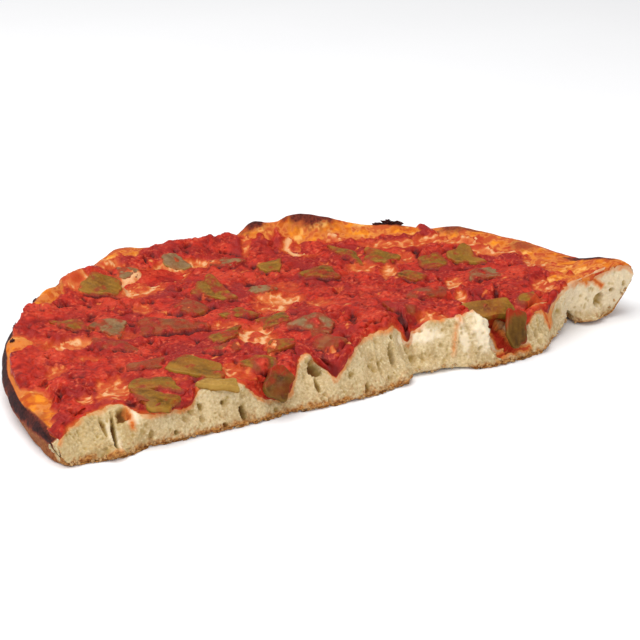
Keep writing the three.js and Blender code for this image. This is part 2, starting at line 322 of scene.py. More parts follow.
def section(start, way, reach, walk):
    """Points round one section, for a walk given as stretches and their numbers of points."""
    near = min(BEHIND_TEAR, NEAR_ENDS * reach)
    far = reach - min(INSIDE_RIM, NEAR_ENDS * reach)
    (base, head), (heel, back) = thickness_at(start + way * near), thickness_at(start + way * far)
    front = thickness_at(start + way * near * 0.5)[1]
    brim = max(far - BRIM, near + 0.4 * (far - near))
    aims = {  # the line that each stretch follows: how far from the tear, and how high
        "foot": ((near, base), (0, base)), "lip": ((0, base), (0, base + LIP)),
        "face": ((0, base + LIP), (0, front)), "edge": ((0, front), (near, head)),
        "top": ((near, head), (brim, back)), "brim": ((brim, back), (far, back)),
        "shoulder": ((far, back), (reach, back)), "wall": ((reach, back), (reach, heel)),
        "heel": ((reach, heel), (far, heel)), "floor": ((far, heel), (near, base)),
        "inside": ((near, head - 3), (near, base + 2)),
    }
    points = []
    for stretch, count in walk.items():
        (out_a, up_a), (out_b, up_b) = aims[stretch]
        hub = far if stretch in ("shoulder", "wall", "heel") else near
        hub_low, hub_high = (heel, back) if hub == far else (base, head)
        hub_height = hub_low + HUB_SHARE * (hub_high - hub_low)
        for s in np.arange(count) / count:
            out, up = out_a + (out_b - out_a) * s, up_a + (up_b - up_a) * s
            spot = start + way * out
            if stretch == "inside":
                points.append((*spot, up))
            elif stretch in ("top", "brim"):
                points.append((*spot, level_at(bread_scan, *spot)))
            elif stretch == "floor":
                points.append(scan(bread_scan, (*spot, BELOW), UP))
            else:
                ray = (*(way * (out - hub)), up - hub_height)
                points.append(scan(bread_scan, (*(start + way * hub), hub_height), ray))
    return points


def scanned(count, walk, spread, spread_across):
    """A smooth rolled-up grid of points on the bread: stations by rows."""
    grid = np.array([section(*line, walk) for line in zip(*stations(count))])
    for strip in grid:
        for axis in range(3):
            strip[:, axis] = filled(strip[:, axis])
    grid = smoothed(grid, spread * count / (high[0] - low[0]), axis=0)
    return smoothed(grid, spread_across, axis=1, ring=True)


def rows_of(walk, name):
    """The rows of a walk that belong to one stretch."""
    names = list(walk)
    start = sum(walk[n] for n in names[:names.index(name)])
    return slice(start, start + walk[name])


def walked(grid, walk):
    """How far each point lies behind the upper edge of the tear, in mm along the surface."""
    steps = np.linalg.norm(np.diff(grid, axis=1), axis=2)
    far = np.concatenate((np.zeros((len(grid), 1)), np.cumsum(steps, 1)), 1)
    return far - far[:, rows_of(walk, "edge").start][:, None]

# %% [markdown]
# ## Swellings
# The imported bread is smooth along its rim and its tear. The real one stands a few millimetres
# higher in some places, where gas has gathered, its soft base spreads a little where it stands, and
# its two ends are pulled. All this is added to the smooth grids, before any fine relief.

# %% Swellings
# Mounds: X, Y, half length, half width in mm, turn in degrees, height in mm.
MOUNDS = [
    (-40, 82, 24, 11, 18, 6), (-70, 68, 14, 10, 32, 3.5), (-10, 85, 18, 10, 0, 3.5),
    (12, 82, 8, 8, -10, 1), (31, 76, 9, 8, -10, 3.5), (48, 71, 13, 9, -20, 4), (-122, -66, 8, 10, 0, 1.5),
    (-66, -73, 8, 7, 0, 1.5), (-31, -67, 8, 7, 0, 2), (18, -62, 9, 7, 0, 1), (152, -58, 6, 10, 0, 1.5),
    (-92, 56, 9, 8, 40, 2),
]
# Where the base spreads: X, Y, half length, half width, turn, how far, and up to which height in mm.
SPREADS = [
    (-150, -38, 14, 26, 0, 0.6, 20), (-150, -68, 16, 10, 0, 1.0, 9), (-80, -84, 40, 14, 6, 3.5, 9),
    (-20, -86, 34, 14, 2, 3.0, 9), (75, -84, 26, 12, 10, 3.0, 9), (137, -62, 14, 10, 0, 3.0, 9),
]
END_PULL, END_PULL_FROM = 3.5, 136.0  # mm that the right end is pulled out, from a place along X
CORNER_PULL = 1.5  # mm that the upper left corner of the tear leans out over its foot


def swollen(grid):
    """The grid with its mounds, its spread base and its pulled ends."""
    for place in MOUNDS:
        grid[..., 2] += place[5] * ease(ovals(grid, [place])[0], 1.25, 0.0) * ease(grid[..., 2], 2, 15)
    for place in SPREADS:
        way = grid[..., :2] - heart
        way /= np.linalg.norm(way, axis=2, keepdims=True)
        amount = place[5] * ease(ovals(grid, [place])[0], 1.0, 0.4) * ease(grid[..., 2], place[6], 0.5)
        grid[..., :2] += way * amount[..., None]
    x, y, z = (grid[..., k] for k in range(3))
    x += END_PULL * ease(x, END_PULL_FROM, high[0]) * ease(z, 1, 9)
    x -= CORNER_PULL * ease(x, -128, -146) * ease(y, -44, -62) * ease(z, 3, 13)
    return grid


print(len(MOUNDS), "mounds up to", max(place[5] for place in MOUNDS), "mm high")

# %% [markdown]
# ## Helpers for relief
# Bread and sauce get their relief by moving each point along its own normal. The noise that says
# how far is read in millimetres, so a lump keeps its size everywhere on the pizza.

# %% Relief helpers
ROUGHNESS, FINER = 0.9, 2.1  # how each finer octave of noise fades, and how much finer it is


def normals(grid, ring=True):
    """Unit normals of a grid of points, pointing out of the food."""
    along = np.gradient(grid, axis=0)
    around = np.roll(grid, -1, 1) - np.roll(grid, 1, 1) if ring else np.gradient(grid, axis=1)
    found = np.cross(along, around)
    return found / np.maximum(np.linalg.norm(found, axis=2, keepdims=True), 1e-9)


def scaled(points, size, stretch, shift):
    """Points as noise reads them, for features of a size in millimetres."""
    return (points.reshape(-1, 3) / (size * np.array(stretch)) + shift).tolist()


def noisy(points, size, stretch=(1, 1, 1), shift=0.0, octaves=1):
    """Smooth noise from about -1 to 1 with bumps of the given size in millimetres."""
    places = scaled(points, size, stretch, shift)
    if octaves == 1:
        found = [noise.noise(p) for p in places]
    else:
        found = [noise.fractal(p, ROUGHNESS, FINER, octaves) for p in places]
    return np.array(found).reshape(points.shape[:-1])


def cells(points, size, stretch=(1, 1, 1), shift=0.0):
    """Distances to the nearest and the second nearest of scattered points, in cell sizes."""
    found = np.array([noise.voronoi(p)[0][:2] for p in scaled(points, size, stretch, shift)])
    return found.reshape(*points.shape[:-1], 2)


def ease(values, start, end):
    """0 before start, 1 after end and a smooth step between them."""
    part = np.clip((values - start) / (end - start), 0, 1)
    return part * part * (3 - 2 * part)


def dressed(shape, guides, points=None):
    """Puts guide values on the vertices of a bmesh, and moves them to places given in mm."""
    layers = [(shape.verts.layers.float.new(key), values.ravel().tolist()) for key, values in guides.items()]
    places = None if points is None else (points.reshape(-1, 3) * MM).tolist()
    for i, vertex in enumerate(shape.verts):
        if places:
            vertex.co = places[i]
        for layer, values in layers:
            vertex[layer] = values[i]


def placed(name, shape, finish, smooth=True):
    """Turns a bmesh into an object of the pizza."""
    bmesh.ops.recalc_face_normals(shape, faces=shape.faces)
    for face in shape.faces:
        face.smooth = smooth
    piece = bpy.data.objects.new(name, bpy.data.meshes.new(name))
    shape.to_mesh(piece.data)
    print(name, "has", sum(len(face.verts) - 2 for face in shape.faces), "triangles")
    shape.free()
    bpy.context.scene.collection.objects.link(piece)
    piece.data.materials.append(finish)
    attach(piece, "root")
    return piece


def rolled_mesh(name, grid, guides, finish):
    """A closed piece from a rolled-up grid of points, with guide values on every point."""
    count, ring = grid.shape[:2]
    shape = bmesh.new()
    bmesh.ops.create_grid(shape, x_segments=ring, y_segments=count - 1, size=1.0)
    wrapped = {key: np.concatenate((values, values[:, :1]), 1) for key, values in guides.items()}
    dressed(shape, wrapped, np.concatenate((grid, grid[:, :1]), 1))
    bmesh.ops.remove_doubles(shape, verts=shape.verts, dist=1e-7)
    ends = bmesh.ops.holes_fill(shape, edges=[edge for edge in shape.edges if edge.is_boundary])
    bmesh.ops.triangulate(shape, faces=ends["faces"])
    return placed(name, shape, finish)

# %% [markdown]
# ## Where the sauce ends
# The sauce runs up to the tear in a wavy line. In some places the crumb stands bare behind the
# edge, in others the sauce hangs down over the torn face. Both the bread and the sauce need that
# line, and the bare places of the rim, so they come first.

# %% Front of the sauce
# Place along X, and how far the sauce begins behind the tear's upper edge, in mm. Less than
# nothing is on the torn face.
FRONT = [
    (-153, 4), (-148, 6), (-145, 8), (-139, 10), (-133, 11), (-129, 10), (-124, 9), (-120, 7), (-118, 5),
    (-116, 2), (-115, -1), (-112, -2.5), (-108, -3), (-102, -4), (-98, -4), (-94, -3), (-90, -1),
    (-86, 3), (-81, 5), (-76, 3), (-70, 3.5), (-68, 0.5), (-65, -2), (-60, -5.5), (-57, -7.5),
    (-54, -9.5), (-49, -9), (-44, -7), (-40, -2), (-38, 2), (-35, 5), (-31, 6), (-28.5, 5), (-26.5, 2),
    (-25.5, -3), (-24, -7.5), (-22.5, -7.5), (-20, -5), (-17, -3.5), (-13, -0.5), (-8, 2), (-2, 4.5),
    (8, 8), (17, 7.5), (21, 5), (23, -1), (25, -3), (27, 1.5), (29, 3.5), (40, 3), (46, 6), (51, 7),
    (58, 9), (66, 9), (72, 8), (76, 4), (80, -2), (84, -2), (88, 0.5), (92, 0), (95, -3), (98, -5),
    (101, -2), (107, -2), (110, -1), (114, 0), (120, -2), (132, -2.5), (140, -2), (154, -1.5),
]
# Where the rim is bare: X, Y, half length, half width in mm and turn in degrees.
BARE_RIM = [
    (-148, -44, 13, 9, 74), (-128, 12, 8, 7, 60), (-91, 52, 12, 5, 38), (-67, 72, 10, 6, 30),
    (-38, 83, 17, 9, 22), (33, 75, 12, 9, -15), (55, 65, 17, 12, -25), (75, 52, 17, 8, -30),
    (94, 40, 9, 7, -35), (116, 20, 14, 9, -50), (127, -4, 16, 9, -60), (132, -27, 14, 9, -70),
    (131, -46, 12, 11, -60), (146, -54, 14, 12, -60), (5, 84, 7, 4, 0), (118, -54, 6, 5, 0),
    (125, -62, 9, 8, 0), (-98, 48, 6, 4, 42), (-151, -57, 12, 7, 66),
]


def front_at(x):
    """Where the sauce begins at a place along X."""
    places, values = np.array(FRONT).T
    return np.interp(x, places, values)


def ovals(points, places):
    """Distance from the nearest of some ovals on the plan, where 1 is its edge, and its index."""
    apart = np.full(points.shape[:-1], 99.0)
    nearest = np.zeros(points.shape[:-1], int)
    for i, (px, py, half_long, half_wide, turn, *_) in enumerate(places):
        c, s = math.cos(math.radians(turn)), math.sin(math.radians(turn))
        dx, dy = points[..., 0] - px, points[..., 1] - py
        here = np.hypot((dx * c + dy * s) / half_long, (dy * c - dx * s) / half_wide)
        nearest = np.where(here < apart, i, nearest)
        apart = np.minimum(apart, here)
    return apart, nearest


def bare_rim(points):
    """1 where the rim has no sauce, with a frayed edge."""
    frayed = noisy(points, 5, shift=41) + 0.6 * noisy(points, 2.2, shift=43)
    return ease(ovals(points, BARE_RIM)[0] + 0.3 * frayed, 1.3, 0.7)


print("the sauce begins", min(FRONT, key=lambda f: f[1])[1], "to", max(FRONT, key=lambda f: f[1])[1],
      "mm behind the edge of the tear")

# %% [markdown]
# ## Bread finish
# Baked wheat bread. The crumb is matt, pale and slightly translucent. The crust dries, browns and
# then chars, and on top it is dyed orange by the oil of the sauce. One material does all of it,
# led by guide values on the points: how much painted shade lies in a pore, how stained, how brown
# and how burnt.

# %% Bread finish
def guides_in(tree, *names):
    """Outputs of the guide values that the points of a piece carry."""
    return [add(tree, "ShaderNodeAttribute", {"attribute_name": name}).outputs["Fac"] for name in names]


def clouds(tree, size_mm, detail=3.0, distortion=0.0):
    """Cloudy noise with features of a size in millimetres."""
    place = add(tree, "ShaderNodeTexCoord").outputs["Object"]
    return add(tree, "ShaderNodeTexNoise", {}, {
        "Vector": place, "Scale": 1 / (size_mm * MM), "Detail": detail, "Distortion": distortion,
    }).outputs[0]


def stretched(tree, value, start, end):
    """A value taken from one range to 0..1, held at both ends."""
    limits = {"Value": value, "From Min": start, "From Max": end}
    return add(tree, "ShaderNodeMapRange", {}, limits).outputs[0]


def painted(tree, tone, *coats):
    """A tone under coats of colour. Each has a value that leads it and two limits of that value."""
    for value, start, end, colour in coats:
        tone = mixed(tree, stretched(tree, value, start, end), tone, colour)
    return tone


def finished(tree, colour, height, depth_mm, settings):
    """The shader that closes a material, with a bump of a depth in millimetres."""
    bump = add(tree, "ShaderNodeBump", {}, {"Height": height, "Strength": 1.0, "Distance": depth_mm * MM})
    shader = add(tree, "ShaderNodeBsdfPrincipled", {}, {
        "Base Color": colour, "Normal": bump.outputs[0], "Subsurface Scale": 1.0, **settings,
    })
    add(tree, "ShaderNodeOutputMaterial", {}, {"Surface": shader.outputs[0]})


bread_finish, tree = new_material("baked_wheat_bread")
crumby, pore_shade, stain, brown, char, pale = guides_in(tree, "crumby", "pore_shade", "stain", "brown", "char", "pale")
grain, cloud, speck = clouds(tree, 1.1, 5.0), clouds(tree, 9.0), clouds(tree, 5.0, 5.0, 0.6)
# Cream crumb; its last two coats are painted shade in pores and holes.
cream = painted(
    tree, "#B49A70", (cloud, 0.35, 0.65, "#CAB38A"), (grain, 0.48, 0.26, "#A28A5C"),
    (grain, 0.52, 0.74, "#D8C69E"), (pale, 0, 1, "#E8D8BC"), (pore_shade, 0, 0.5, "#A4884E"),
    (pore_shade, 0.5, 1, "#744A20"),
)
orange = painted(tree, "#B0440E", (speck, 0.38, 0.66, "#E2881C"), (pale, 0, 1, "#EAB060"))
toast = painted(tree, "#7C441A", (grain, 0.36, 0.62, "#B88244"))
scorched = painted(tree, "#5E2216", (grain, 0.35, 0.65, "#84351F"))
burnt = painted(tree, "#1C0C0C", (grain, 0.35, 0.65, "#401C1C"))
tone = painted(
    tree, mixed(tree, crumby, orange, cream), (stain, 0, 0.5, "#CC7634"), (stain, 0.5, 1, "#A82A14"),
    (brown, 0, 1, toast), (char, 0, 0.55, scorched), (char, 0.55, 1, burnt),
)
finished(tree, tone, grain, 0.12, {
    "Roughness": 0.85, "Specular IOR Level": 0.2, "Subsurface Weight": 0.2,
    "Subsurface Radius": (0.003, 0.002, 0.001),
})

# %% [markdown]
# ## Torn crumb
# Bread does not tear flat. The crumb pulls into strands and lumps, and the gas holes that are
# opened show as pits from pinholes to the size of a fingertip. Noise of several sizes makes the
# lumps, scattered cells make the pores, and the few large holes and lumps are listed one by one.

# %% Large holes and lumps of the tear
# Holes: place along X, height, half width, half height, depth in mm, lean, and how much painted shade lies
# inside.
HOLES = [
    (-127.5, 8, 0.9, 6.2, 5, 0.3, 1), (-121.5, 13.5, 2.6, 2.6, 4, 0.4, 1), (-112, 6, 1, 2.2, 1.5, 0, 0.3),
    (-130.5, 10.5, 1, 2.6, 2, 0, 0.5), (-87, 11, 1.1, 1.6, 2, 0, 0.7), (-101, 4, 1, 1.1, 2, 0, 0.7),
    (-88, 6.5, 1.4, 1.4, 1.2, 0, 0.3), (-77.5, 11, 0.7, 0.9, 1.4, 0, 0.4), (-68, 13, 2, 2, 1.4, 0, 0.2),
    (-69, 5.5, 1.6, 3, 5.5, -0.2, 1), (-78, 2.5, 1.4, 1.2, 2.5, 0, 0.9), (-30, 14.5, 3.0, 2.6, 4, 0, 1),
    (-31, 9.5, 1.0, 3.0, 2.5, 0, 0.8), (11, 12.5, 1.9, 3.8, 4.5, 0.25, 0.5),
    (14, 18.5, 1, 0.9, 1.6, 0, 0.6), (-14.5, 10.5, 1.6, 1.6, 1.4, 0, 0.3),
    (-7.5, 4, 1.4, 1.8, 2.6, 0.4, 0.9), (136, 10, 2.9, 3.1, 3.4, 0, 0.45),
    (143, 14, 1.1, 1.1, 1.6, 0, 0.4), (67, 12, 7.5, 10, 5, 0.1, 0.1), (2, 9, 1, 3, 1.4, 0, 0.2),
    (86, 9, 1.2, 2.4, 1.6, 0.3, 0.3), (120, 3.5, 3, 3.4, 5, -0.3, 1), (24, 9, 1.6, 5, 2, 0.1, 0.2),
    (-52, 3.5, 1.2, 1, 1.6, 0, 0.5), (108, 12, 1.5, 2.5, 1.8, 0.4, 0.2), (150, 16, 1.2, 1.6, 1.5, 0, 0.4),
]
# Lumps: place along X, height, half width, half height and how far they stand out in mm.
LUMPS = [
    (-130, 1.5, 5.5, 3.5, 4), (-117, 10, 5, 6, 1.6), (-137, 8, 7, 8, 1.5), (-67, 16, 5, 3, 2),
    (-31, 19, 5, 3, 2.5), (14, 22, 6, 3, 1.5), (14, 4, 6, 6, 2), (55, 15, 5, 8, 3.5), (50, 10, 2, 9, 1.5),
    (32, 3, 12, 3, 2.5), (112, 6, 6, 7, 3), (131, 2.5, 9, 4, 4), (90, 5, 7, 4, 1.5), (-95, 6, 9, 6, 1.2),
    (145, 16, 6, 5, 1.5), (-136, 14, 9, 4, 1.5), (-82, 17, 7, 3, 1.5), (10, 22, 8, 3, 1.5),
    (38, 21, 10, 3, 1.2),
]
# Whiter, freshly opened crumb: place along X, height, half width and half height in mm.
FRESH = [
    (56, 15, 6, 9), (48, 14, 2, 9), (-128, 8, 3, 6), (30, 16, 12, 4), (-119, 13, 4, 3), (68, 10, 4, 4),
]
# Runs of sauce on the tear: from X and height to X and height, half width in mm and strength.
RUNS = [
    (-119, 15, -119.5, 9, 0.5, 0.7), (-133, 0.6, -129, 1.6, 1.2, 0.5), (92, 20, 97.5, 8, 0.9, 0.8),
    (104, 17, 98, 9, 0.7, 0.55), (130, 23, 138, 16.5, 0.8, 0.8), (128, 23, 129.5, 19, 0.9, 0.6),
    (125, 21, 131, 21, 1.2, 0.5), (63.5, 21, 64, 9, 1.3, 1), (49, 21, 46, 17, 0.2, 0.4),
    (46, 17, 42.5, 7, 0.2, 0.35), (64, 5, 80, 4, 1.0, 0.9), (70.5, 18, 71.5, 5, 2.2, 1),
    (67, 20, 73, 19, 2.0, 1), (98, 17, 99, 10, 2.6, 0.42),
]
# Strands pulled out of the crumb: from X and height to X and height, half width, and stand in mm.
RIBS = [
    (50, 22, 48.5, 19, 1.5, 1.6), (48.5, 19, 45, 12, 1.2, 1.3), (45, 12, 42.5, 6, 1.0, 0.9),
    (53, 21, 52, 8, 1.4, 0.9), (60, 22, 59, 12, 1.6, 1.0), (56, 22, 56, 14, 1.2, 0.8),
    (-33, 17, -33, 8, 0.8, 0.9), (-121, 15, -122, 8, 1.2, 0.8), (2, 18, 0, 6, 1.2, 0.6),
    (22, 18, 21, 9, 1.2, 0.7), (88, 16, 88, 7, 1.4, 0.7), (112, 18, 110, 8, 1.4, 0.7),
]
NO_BASE_X, NO_BASE_HALF = 34.0, 12.0  # mm along X, where the base has come away from the foot


def no_base(x, fades_at):
    """1 where the foot of the tear has no base, down to 0 at a distance in mm."""
    return ease(np.abs(x - NO_BASE_X), fades_at, NO_BASE_HALF)


def blob(points, x, z, half_width, half_height, lean=0.0):
    """Distance from a place on the tear, where 1 is the edge of an oval with the given halves."""
    off = points[..., 2] - z
    return np.hypot((points[..., 0] - x - lean * off) / half_width, off / half_height)


def run_distance(points, x0, z0, x1, z1):
    """Distance in mm on the tear from a straight line between two places."""
    along = np.array((x1 - x0, z1 - z0))
    off = np.stack((points[..., 0] - x0, points[..., 2] - z0), -1)
    part = np.clip(off @ along / (along @ along), 0, 1)
    return np.linalg.norm(off - part[..., None] * along, axis=-1)


print(len(HOLES), "holes,", len(LUMPS), "lumps,", len(RUNS), "runs of sauce,", len(RIBS), "strands")

# %% Crumb skin
CRUMB_STATIONS = 700
CRUMB_WALK = {"foot": 10, "lip": 10, "face": 68, "edge": 42, "top": 2, "inside": 4}
FLOOR_GAP = 0.15  # mm that the crumb stays off the table
UNDER_SAUCE_SUNK, BEHIND_SUNK, FOOT_SUNK = 0.4, 0.8, 0.8  # mm that hidden or undercut parts draw in
crumb_skin = swollen(scanned(CRUMB_STATIONS, CRUMB_WALK, 1.6, 2.0))
crumb_out = normals(crumb_skin)
crumb_behind = walked(crumb_skin, CRUMB_WALK)
skin = crumb_skin
x, y, z = np.moveaxis(skin, 2, 0)
before_sauce = front_at(x) - crumb_behind  # mm of bare crumb in front of the sauce
under_sauce = ease(before_sauce, 0.5, -2.5)
on_face = ease(before_sauce, -4, 0)
shown = np.ones(skin.shape[:2])
shown[:, rows_of(CRUMB_WALK, "inside")] = 0
shown[:, rows_of(CRUMB_WALK, "foot")] = np.linspace(0, 1, CRUMB_WALK["foot"])
print("crumb:", skin.shape[0], "stations by", skin.shape[1], "rows")

# %% Crumb relief
# Broad lumps, folds between them and a fine grain; then pores, which lie together in open places.
warped = skin + 1.2 * noisy(skin, 6, shift=90)[..., None]
lumps = 1.5 * noisy(warped, 14, shift=1) + 0.7 * (0.3 - np.abs(noisy(warped, 8, (1, 1, 2.0), 7)) * 1.6)
lumps += 0.3 * noisy(warped, 3.8, (1, 1, 1.4), 3)
fine = 0.2 * noisy(skin, 1.6, (1, 1, 1.3), 5) + 0.14 * noisy(skin, 0.8, shift=6)
open_small = ease(noisy(skin, 5, shift=21), -0.1, 0.3)
open_large = ease(noisy(skin, 9, shift=23), 0.05, 0.3)
small_pores = open_small * ease(cells(warped, 2.1, (1, 1, 1.25))[..., 0], 0.5, 0.1)
large_pores = open_large * ease(cells(warped, 4.6, (1, 1, 1.5), 5)[..., 0], 0.4, 0.1)
rag = noisy(skin, 2.2, shift=2, octaves=2)  # frays the outline of whatever is placed by hand
# dark holds the painted shade inside the large holes.
holes, dark = np.zeros(skin.shape[:2]), np.zeros(skin.shape[:2])
for *place, depth, lean, shade in HOLES:
    inside = on_face * ease(blob(skin, *place, lean) + 0.3 * rag, 1.2, 0.55)
    holes = np.maximum(holes, depth * inside)
    dark = np.maximum(dark, shade * inside)
for *place, stand in LUMPS:
    lumps += on_face * stand * ease(blob(skin, *place) + 0.2 * rag, 1.25, 0.1)
fresh = np.max([ease(blob(skin, *place) + 0.25 * rag, 1.1, 0.5) for place in FRESH], 0) * on_face
fine += 0.7 * fresh * noisy(skin, 2.4, (1, 1, 1.8), 15, octaves=2)
fine = fine - 0.5 * small_pores - 1.2 * large_pores - holes
crumb_move = shown * (lumps * (1 - 0.6 * under_sauce) + fine * (1 - under_sauce))
crumb_move = crumb_move - UNDER_SAUCE_SUNK * under_sauce - BEHIND_SUNK * ease(crumb_behind, 12, 18)
overhang = ease(z - z.min(1, keepdims=True), 0.3 + 0.6 * noisy(skin, 5, shift=12), 2.0)
crumb_move = crumb_move * overhang - FOOT_SUNK * (1 - overhang)
crumb_points = skin + crumb_out * crumb_move[..., None]
crumb_points[..., 2] = np.maximum(crumb_points[..., 2], FLOOR_GAP)
for *ends, width, stand in RIBS:
    pulled = on_face * stand * ease(run_distance(skin, *ends), width, 0)
    crumb_points += crumb_out * pulled[..., None]
print("crumb relief from", crumb_move.min().round(1), "to", crumb_move.max().round(1), "mm")

# %% Crumb piece
# Oil stains the crumb along the sauce, sauce has run down it, and its foot is toasted.
stain = 0.38 * ease(before_sauce + 1.2 * noisy(skin, 7, shift=31) + 0.8 * rag, 2.0, 0.0)
stain *= 0.8 + 0.7 * noisy(skin, 4, shift=33)
for *ends, width, strength in RUNS:
    apart = run_distance(skin, *ends) + 0.6 * rag
    run = on_face * strength * (ease(apart, width + 1.6, width) + ease(apart, width, 0.4 * width)) * 0.5
    stain = np.maximum(stain, run)
# Painted shade in the pores and holes; the crumb is also a little darker towards the left end.
pore_shade = np.clip(0.4 * small_pores + 0.35 * large_pores + dark + 0.14 * ease(x, -112, -126), 0, 1)
fresh = np.maximum(fresh, 0.6 * ease(x, 100, 118) * ease(z, 3, 8))
brown = ease(z + 1.5 * noisy(skin, 4, shift=34) + 1.3 * rag, 3.5, 1.5)
toasted = 0.7 * ease(noisy(skin, 1.5, shift=35) + 0.6 * noisy(skin, 5, shift=36), 0.15, 0.5) * ease(z, 8, 2)
brown = np.maximum(brown, toasted) * (1 - 0.9 * no_base(x, 16))
crumb = rolled_mesh("torn_crumb", crumb_points, {
    "crumby": np.ones_like(pore_shade), "pore_shade": pore_shade, "stain": stain, "brown": brown, "pale": 0.8 * fresh,
}, bread_finish)
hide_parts("bread")

# %% [markdown]
# ## Crust
# The crust is the outside of the loaf: the top round the sauce, the rim that leaned on the tray and
# the thin brown base. It is a second skin over the same sections. On the torn face it draws back
# behind the crumb, so that the line where crust meets crumb is as ragged as a real tear, and at
# the foot it sticks out again as the edge of the base. On the right chunk, where no sauce lies, it
# laps over the edge and down the face. Both ends of the tear are torn too, and look like crumb.

# %% Blisters and burns of the rim
# Blisters: X, Y, half length, half width, turn in degrees, height in mm, and how burnt.
BLISTERS = [
    (54, 68, 13, 9, -25, 0.8, 0.75), (31, 76, 7, 5, -10, 1.0, 0.7), (90, 44, 9, 6, -40, 0.8, 0),
    (112, 22, 10, 6, -45, 1.2, 0.5), (-127, 12, 9, 8, 60, 1.5, 0), (-145, -38, 8, 6, 80, 0.8, 0),
    (-78, 62, 15, 8, 30, 0.5, 0.15), (-101, 44, 10, 7, 40, 1, 0.1), (145, -46, 13, 5, -70, 0.5, 1),
    (-38, 84, 14, 6, 18, 0.5, 0.3), (128, -12, 9, 6, -60, 0.6, 0.3),
]
# Scorched places without a blister.
SCORCHES = [
    (57, 66, 18, 9, -25, 0, 0.72), (118, 16, 9, 3, -55, 0, 0.45), (144, -41, 13, 5, -58, 0, 1),
    (31, 75, 9, 6, -10, 0, 0.9), (-151, -58, 10, 4, 70, 0, 0.3), (92, 44, 9, 2, -38, 0, 0.6),
]
print(len(BLISTERS), "blisters and", len(SCORCHES), "scorched places")

# %% Crust skin
CRUST_STATIONS = 560
CRUST_WALK = {
    "foot": 6, "lip": 8, "face": 14, "edge": 18, "top": 20, "brim": 26, "shoulder": 28, "wall": 30,
    "heel": 8, "floor": 12,
}
DRAWN_BACK = 6.0  # mm that the crust lies behind the torn face
BARE_STRIP = 5.0  # mm of crumb between the torn face and the crust, on top
SAUCE_SUNK, LAPPED = 0.5, 0.7  # mm that the crust lies lower under sauce, and higher where it laps
STRAY = 1.5  # mm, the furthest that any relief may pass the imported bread
crust_skin = swollen(scanned(CRUST_STATIONS, CRUST_WALK, 2.0, 1.4))
crust_out = normals(crust_skin)
crust_behind = walked(crust_skin, CRUST_WALK)
skin, out = crust_skin, crust_out
x, y, z = np.moveaxis(skin, 2, 0)
base_level = z.min(1, keepdims=True)
on = {name: np.zeros(skin.shape[:2]) for name in CRUST_WALK}
for name in CRUST_WALK:
    on[name][:, rows_of(CRUST_WALK, name)] = 1
print("crust:", skin.shape[0], "stations by", skin.shape[1], "rows")

# %% Crust relief
rag, wide_rag = noisy(skin, 2.6, shift=41, octaves=2), noisy(skin, 8, shift=43)
rise = 0.4 * noisy(skin, 14, shift=45) + 0.25 * noisy(skin, 5, shift=47) + 0.1 * noisy(skin, 1.6, shift=49)
scorch = np.zeros(skin.shape[:2])
for place in BLISTERS + SCORCHES:
    apart = ovals(skin, [place])[0]
    height, burn = place[5:]
    rise += height * ease(apart, 1.15, 0.0) * ease(z, 4, 14)
    scorch = np.maximum(scorch, burn * ease(apart + 0.3 * rag, 1.0, 0.3) * ease(z, 8, 16))
right_chunk = ease(x, 112, 118)
crumb_width = front_at(x) + BARE_STRIP * (1 - right_chunk)
torn = (on["face"] + on["edge"]) * ease(crust_behind + 1.2 * wide_rag + rag - crumb_width, 1.5, -0.5)
torn = np.maximum(torn, on["face"] * (1 - right_chunk))
lip = on["lip"] * (0.2 + 1.6 * wide_rag + 1.8 * rag - 4.0 * no_base(x, 17))
lip_height = ease(z - base_level + 0.6 * wide_rag + 0.6 * rag, 0.8, 1.5)
move = rise * (1 - torn) - DRAWN_BACK * torn + lip * (1 - lip_height) - DRAWN_BACK * on["lip"] * lip_height
level_top = on["edge"] + on["top"] + on["brim"] + on["shoulder"] * ease(out[..., 2], 0.5, 0.8)
move -= SAUCE_SUNK * (1 - bare_rim(skin)) * level_top * (1 - right_chunk)
move += LAPPED * on["face"] * right_chunk * (1 - torn)
grounded = ease(z - base_level, 0.0, 1.0)
move = move * grounded + (1 - grounded) * np.minimum(move, 0) * (on["lip"] + on["foot"])
crust_points = skin + out * move[..., None]
crust_points[..., 2] = np.maximum(crust_points[..., 2], 0.0)
crust_points = np.clip(crust_points, low - STRAY, high + STRAY)
print("crust relief from", move.min().round(1), "to", move.max().round(1), "mm")

# %% Crust piece
# The side is charred in a band under the rim, broadest at the left. The top is dyed by the oil.
top_level = np.maximum(z.max(1, keepdims=True), 1)
height_share = np.clip((z - base_level) / np.maximum(top_level - base_level, 1), 0, 1)
left = ease(x, -60, -115)
to_corner = ease(y, -38, -58) * left
side = on["shoulder"] * ease(out[..., 2], 0.72 + 0.18 * to_corner, 0.47 + 0.23 * to_corner)
side = side + on["wall"] + on["heel"]
band = ease(height_share - 0.16 * to_corner + 0.1 * wide_rag + 0.08 * rag, 0.36, 0.62)
char = side * np.clip(0.3 * left + band * (0.45 + 0.3 * left + (0.5 - 0.2 * left) * wide_rag), 0, 1)
char = np.maximum(char, scorch)
left_torn = ease(x, -130, -138) * ease(y + 0.7 * rag, -75.0, -76.5)
left_torn *= 1 - on["lip"] - on["foot"] - on["floor"]
right_torn = ease(x, 128, 138) * ease(z + 1.5 * rag, top_level - 1.0, top_level - 3.0) * ease(y, -44, -52)
right_torn *= on["wall"] + on["shoulder"] + on["heel"]
end_torn = np.maximum(left_torn, right_torn)
brown = np.clip(side * (0.9 - 0.4 * (1 - left) * band) + on["floor"] + on["lip"] + on["foot"], 0, 1)
pale = ease(noisy(skin, 7, (1.8, 1, 1), 51) + 0.5 * rag, 0.1, 0.5) * (1 - side) * 0.85
blotches = 0.85 * ease(noisy(skin, 6, (2.2, 1, 1), 53) + 0.6 * rag, 0.0, 0.35)
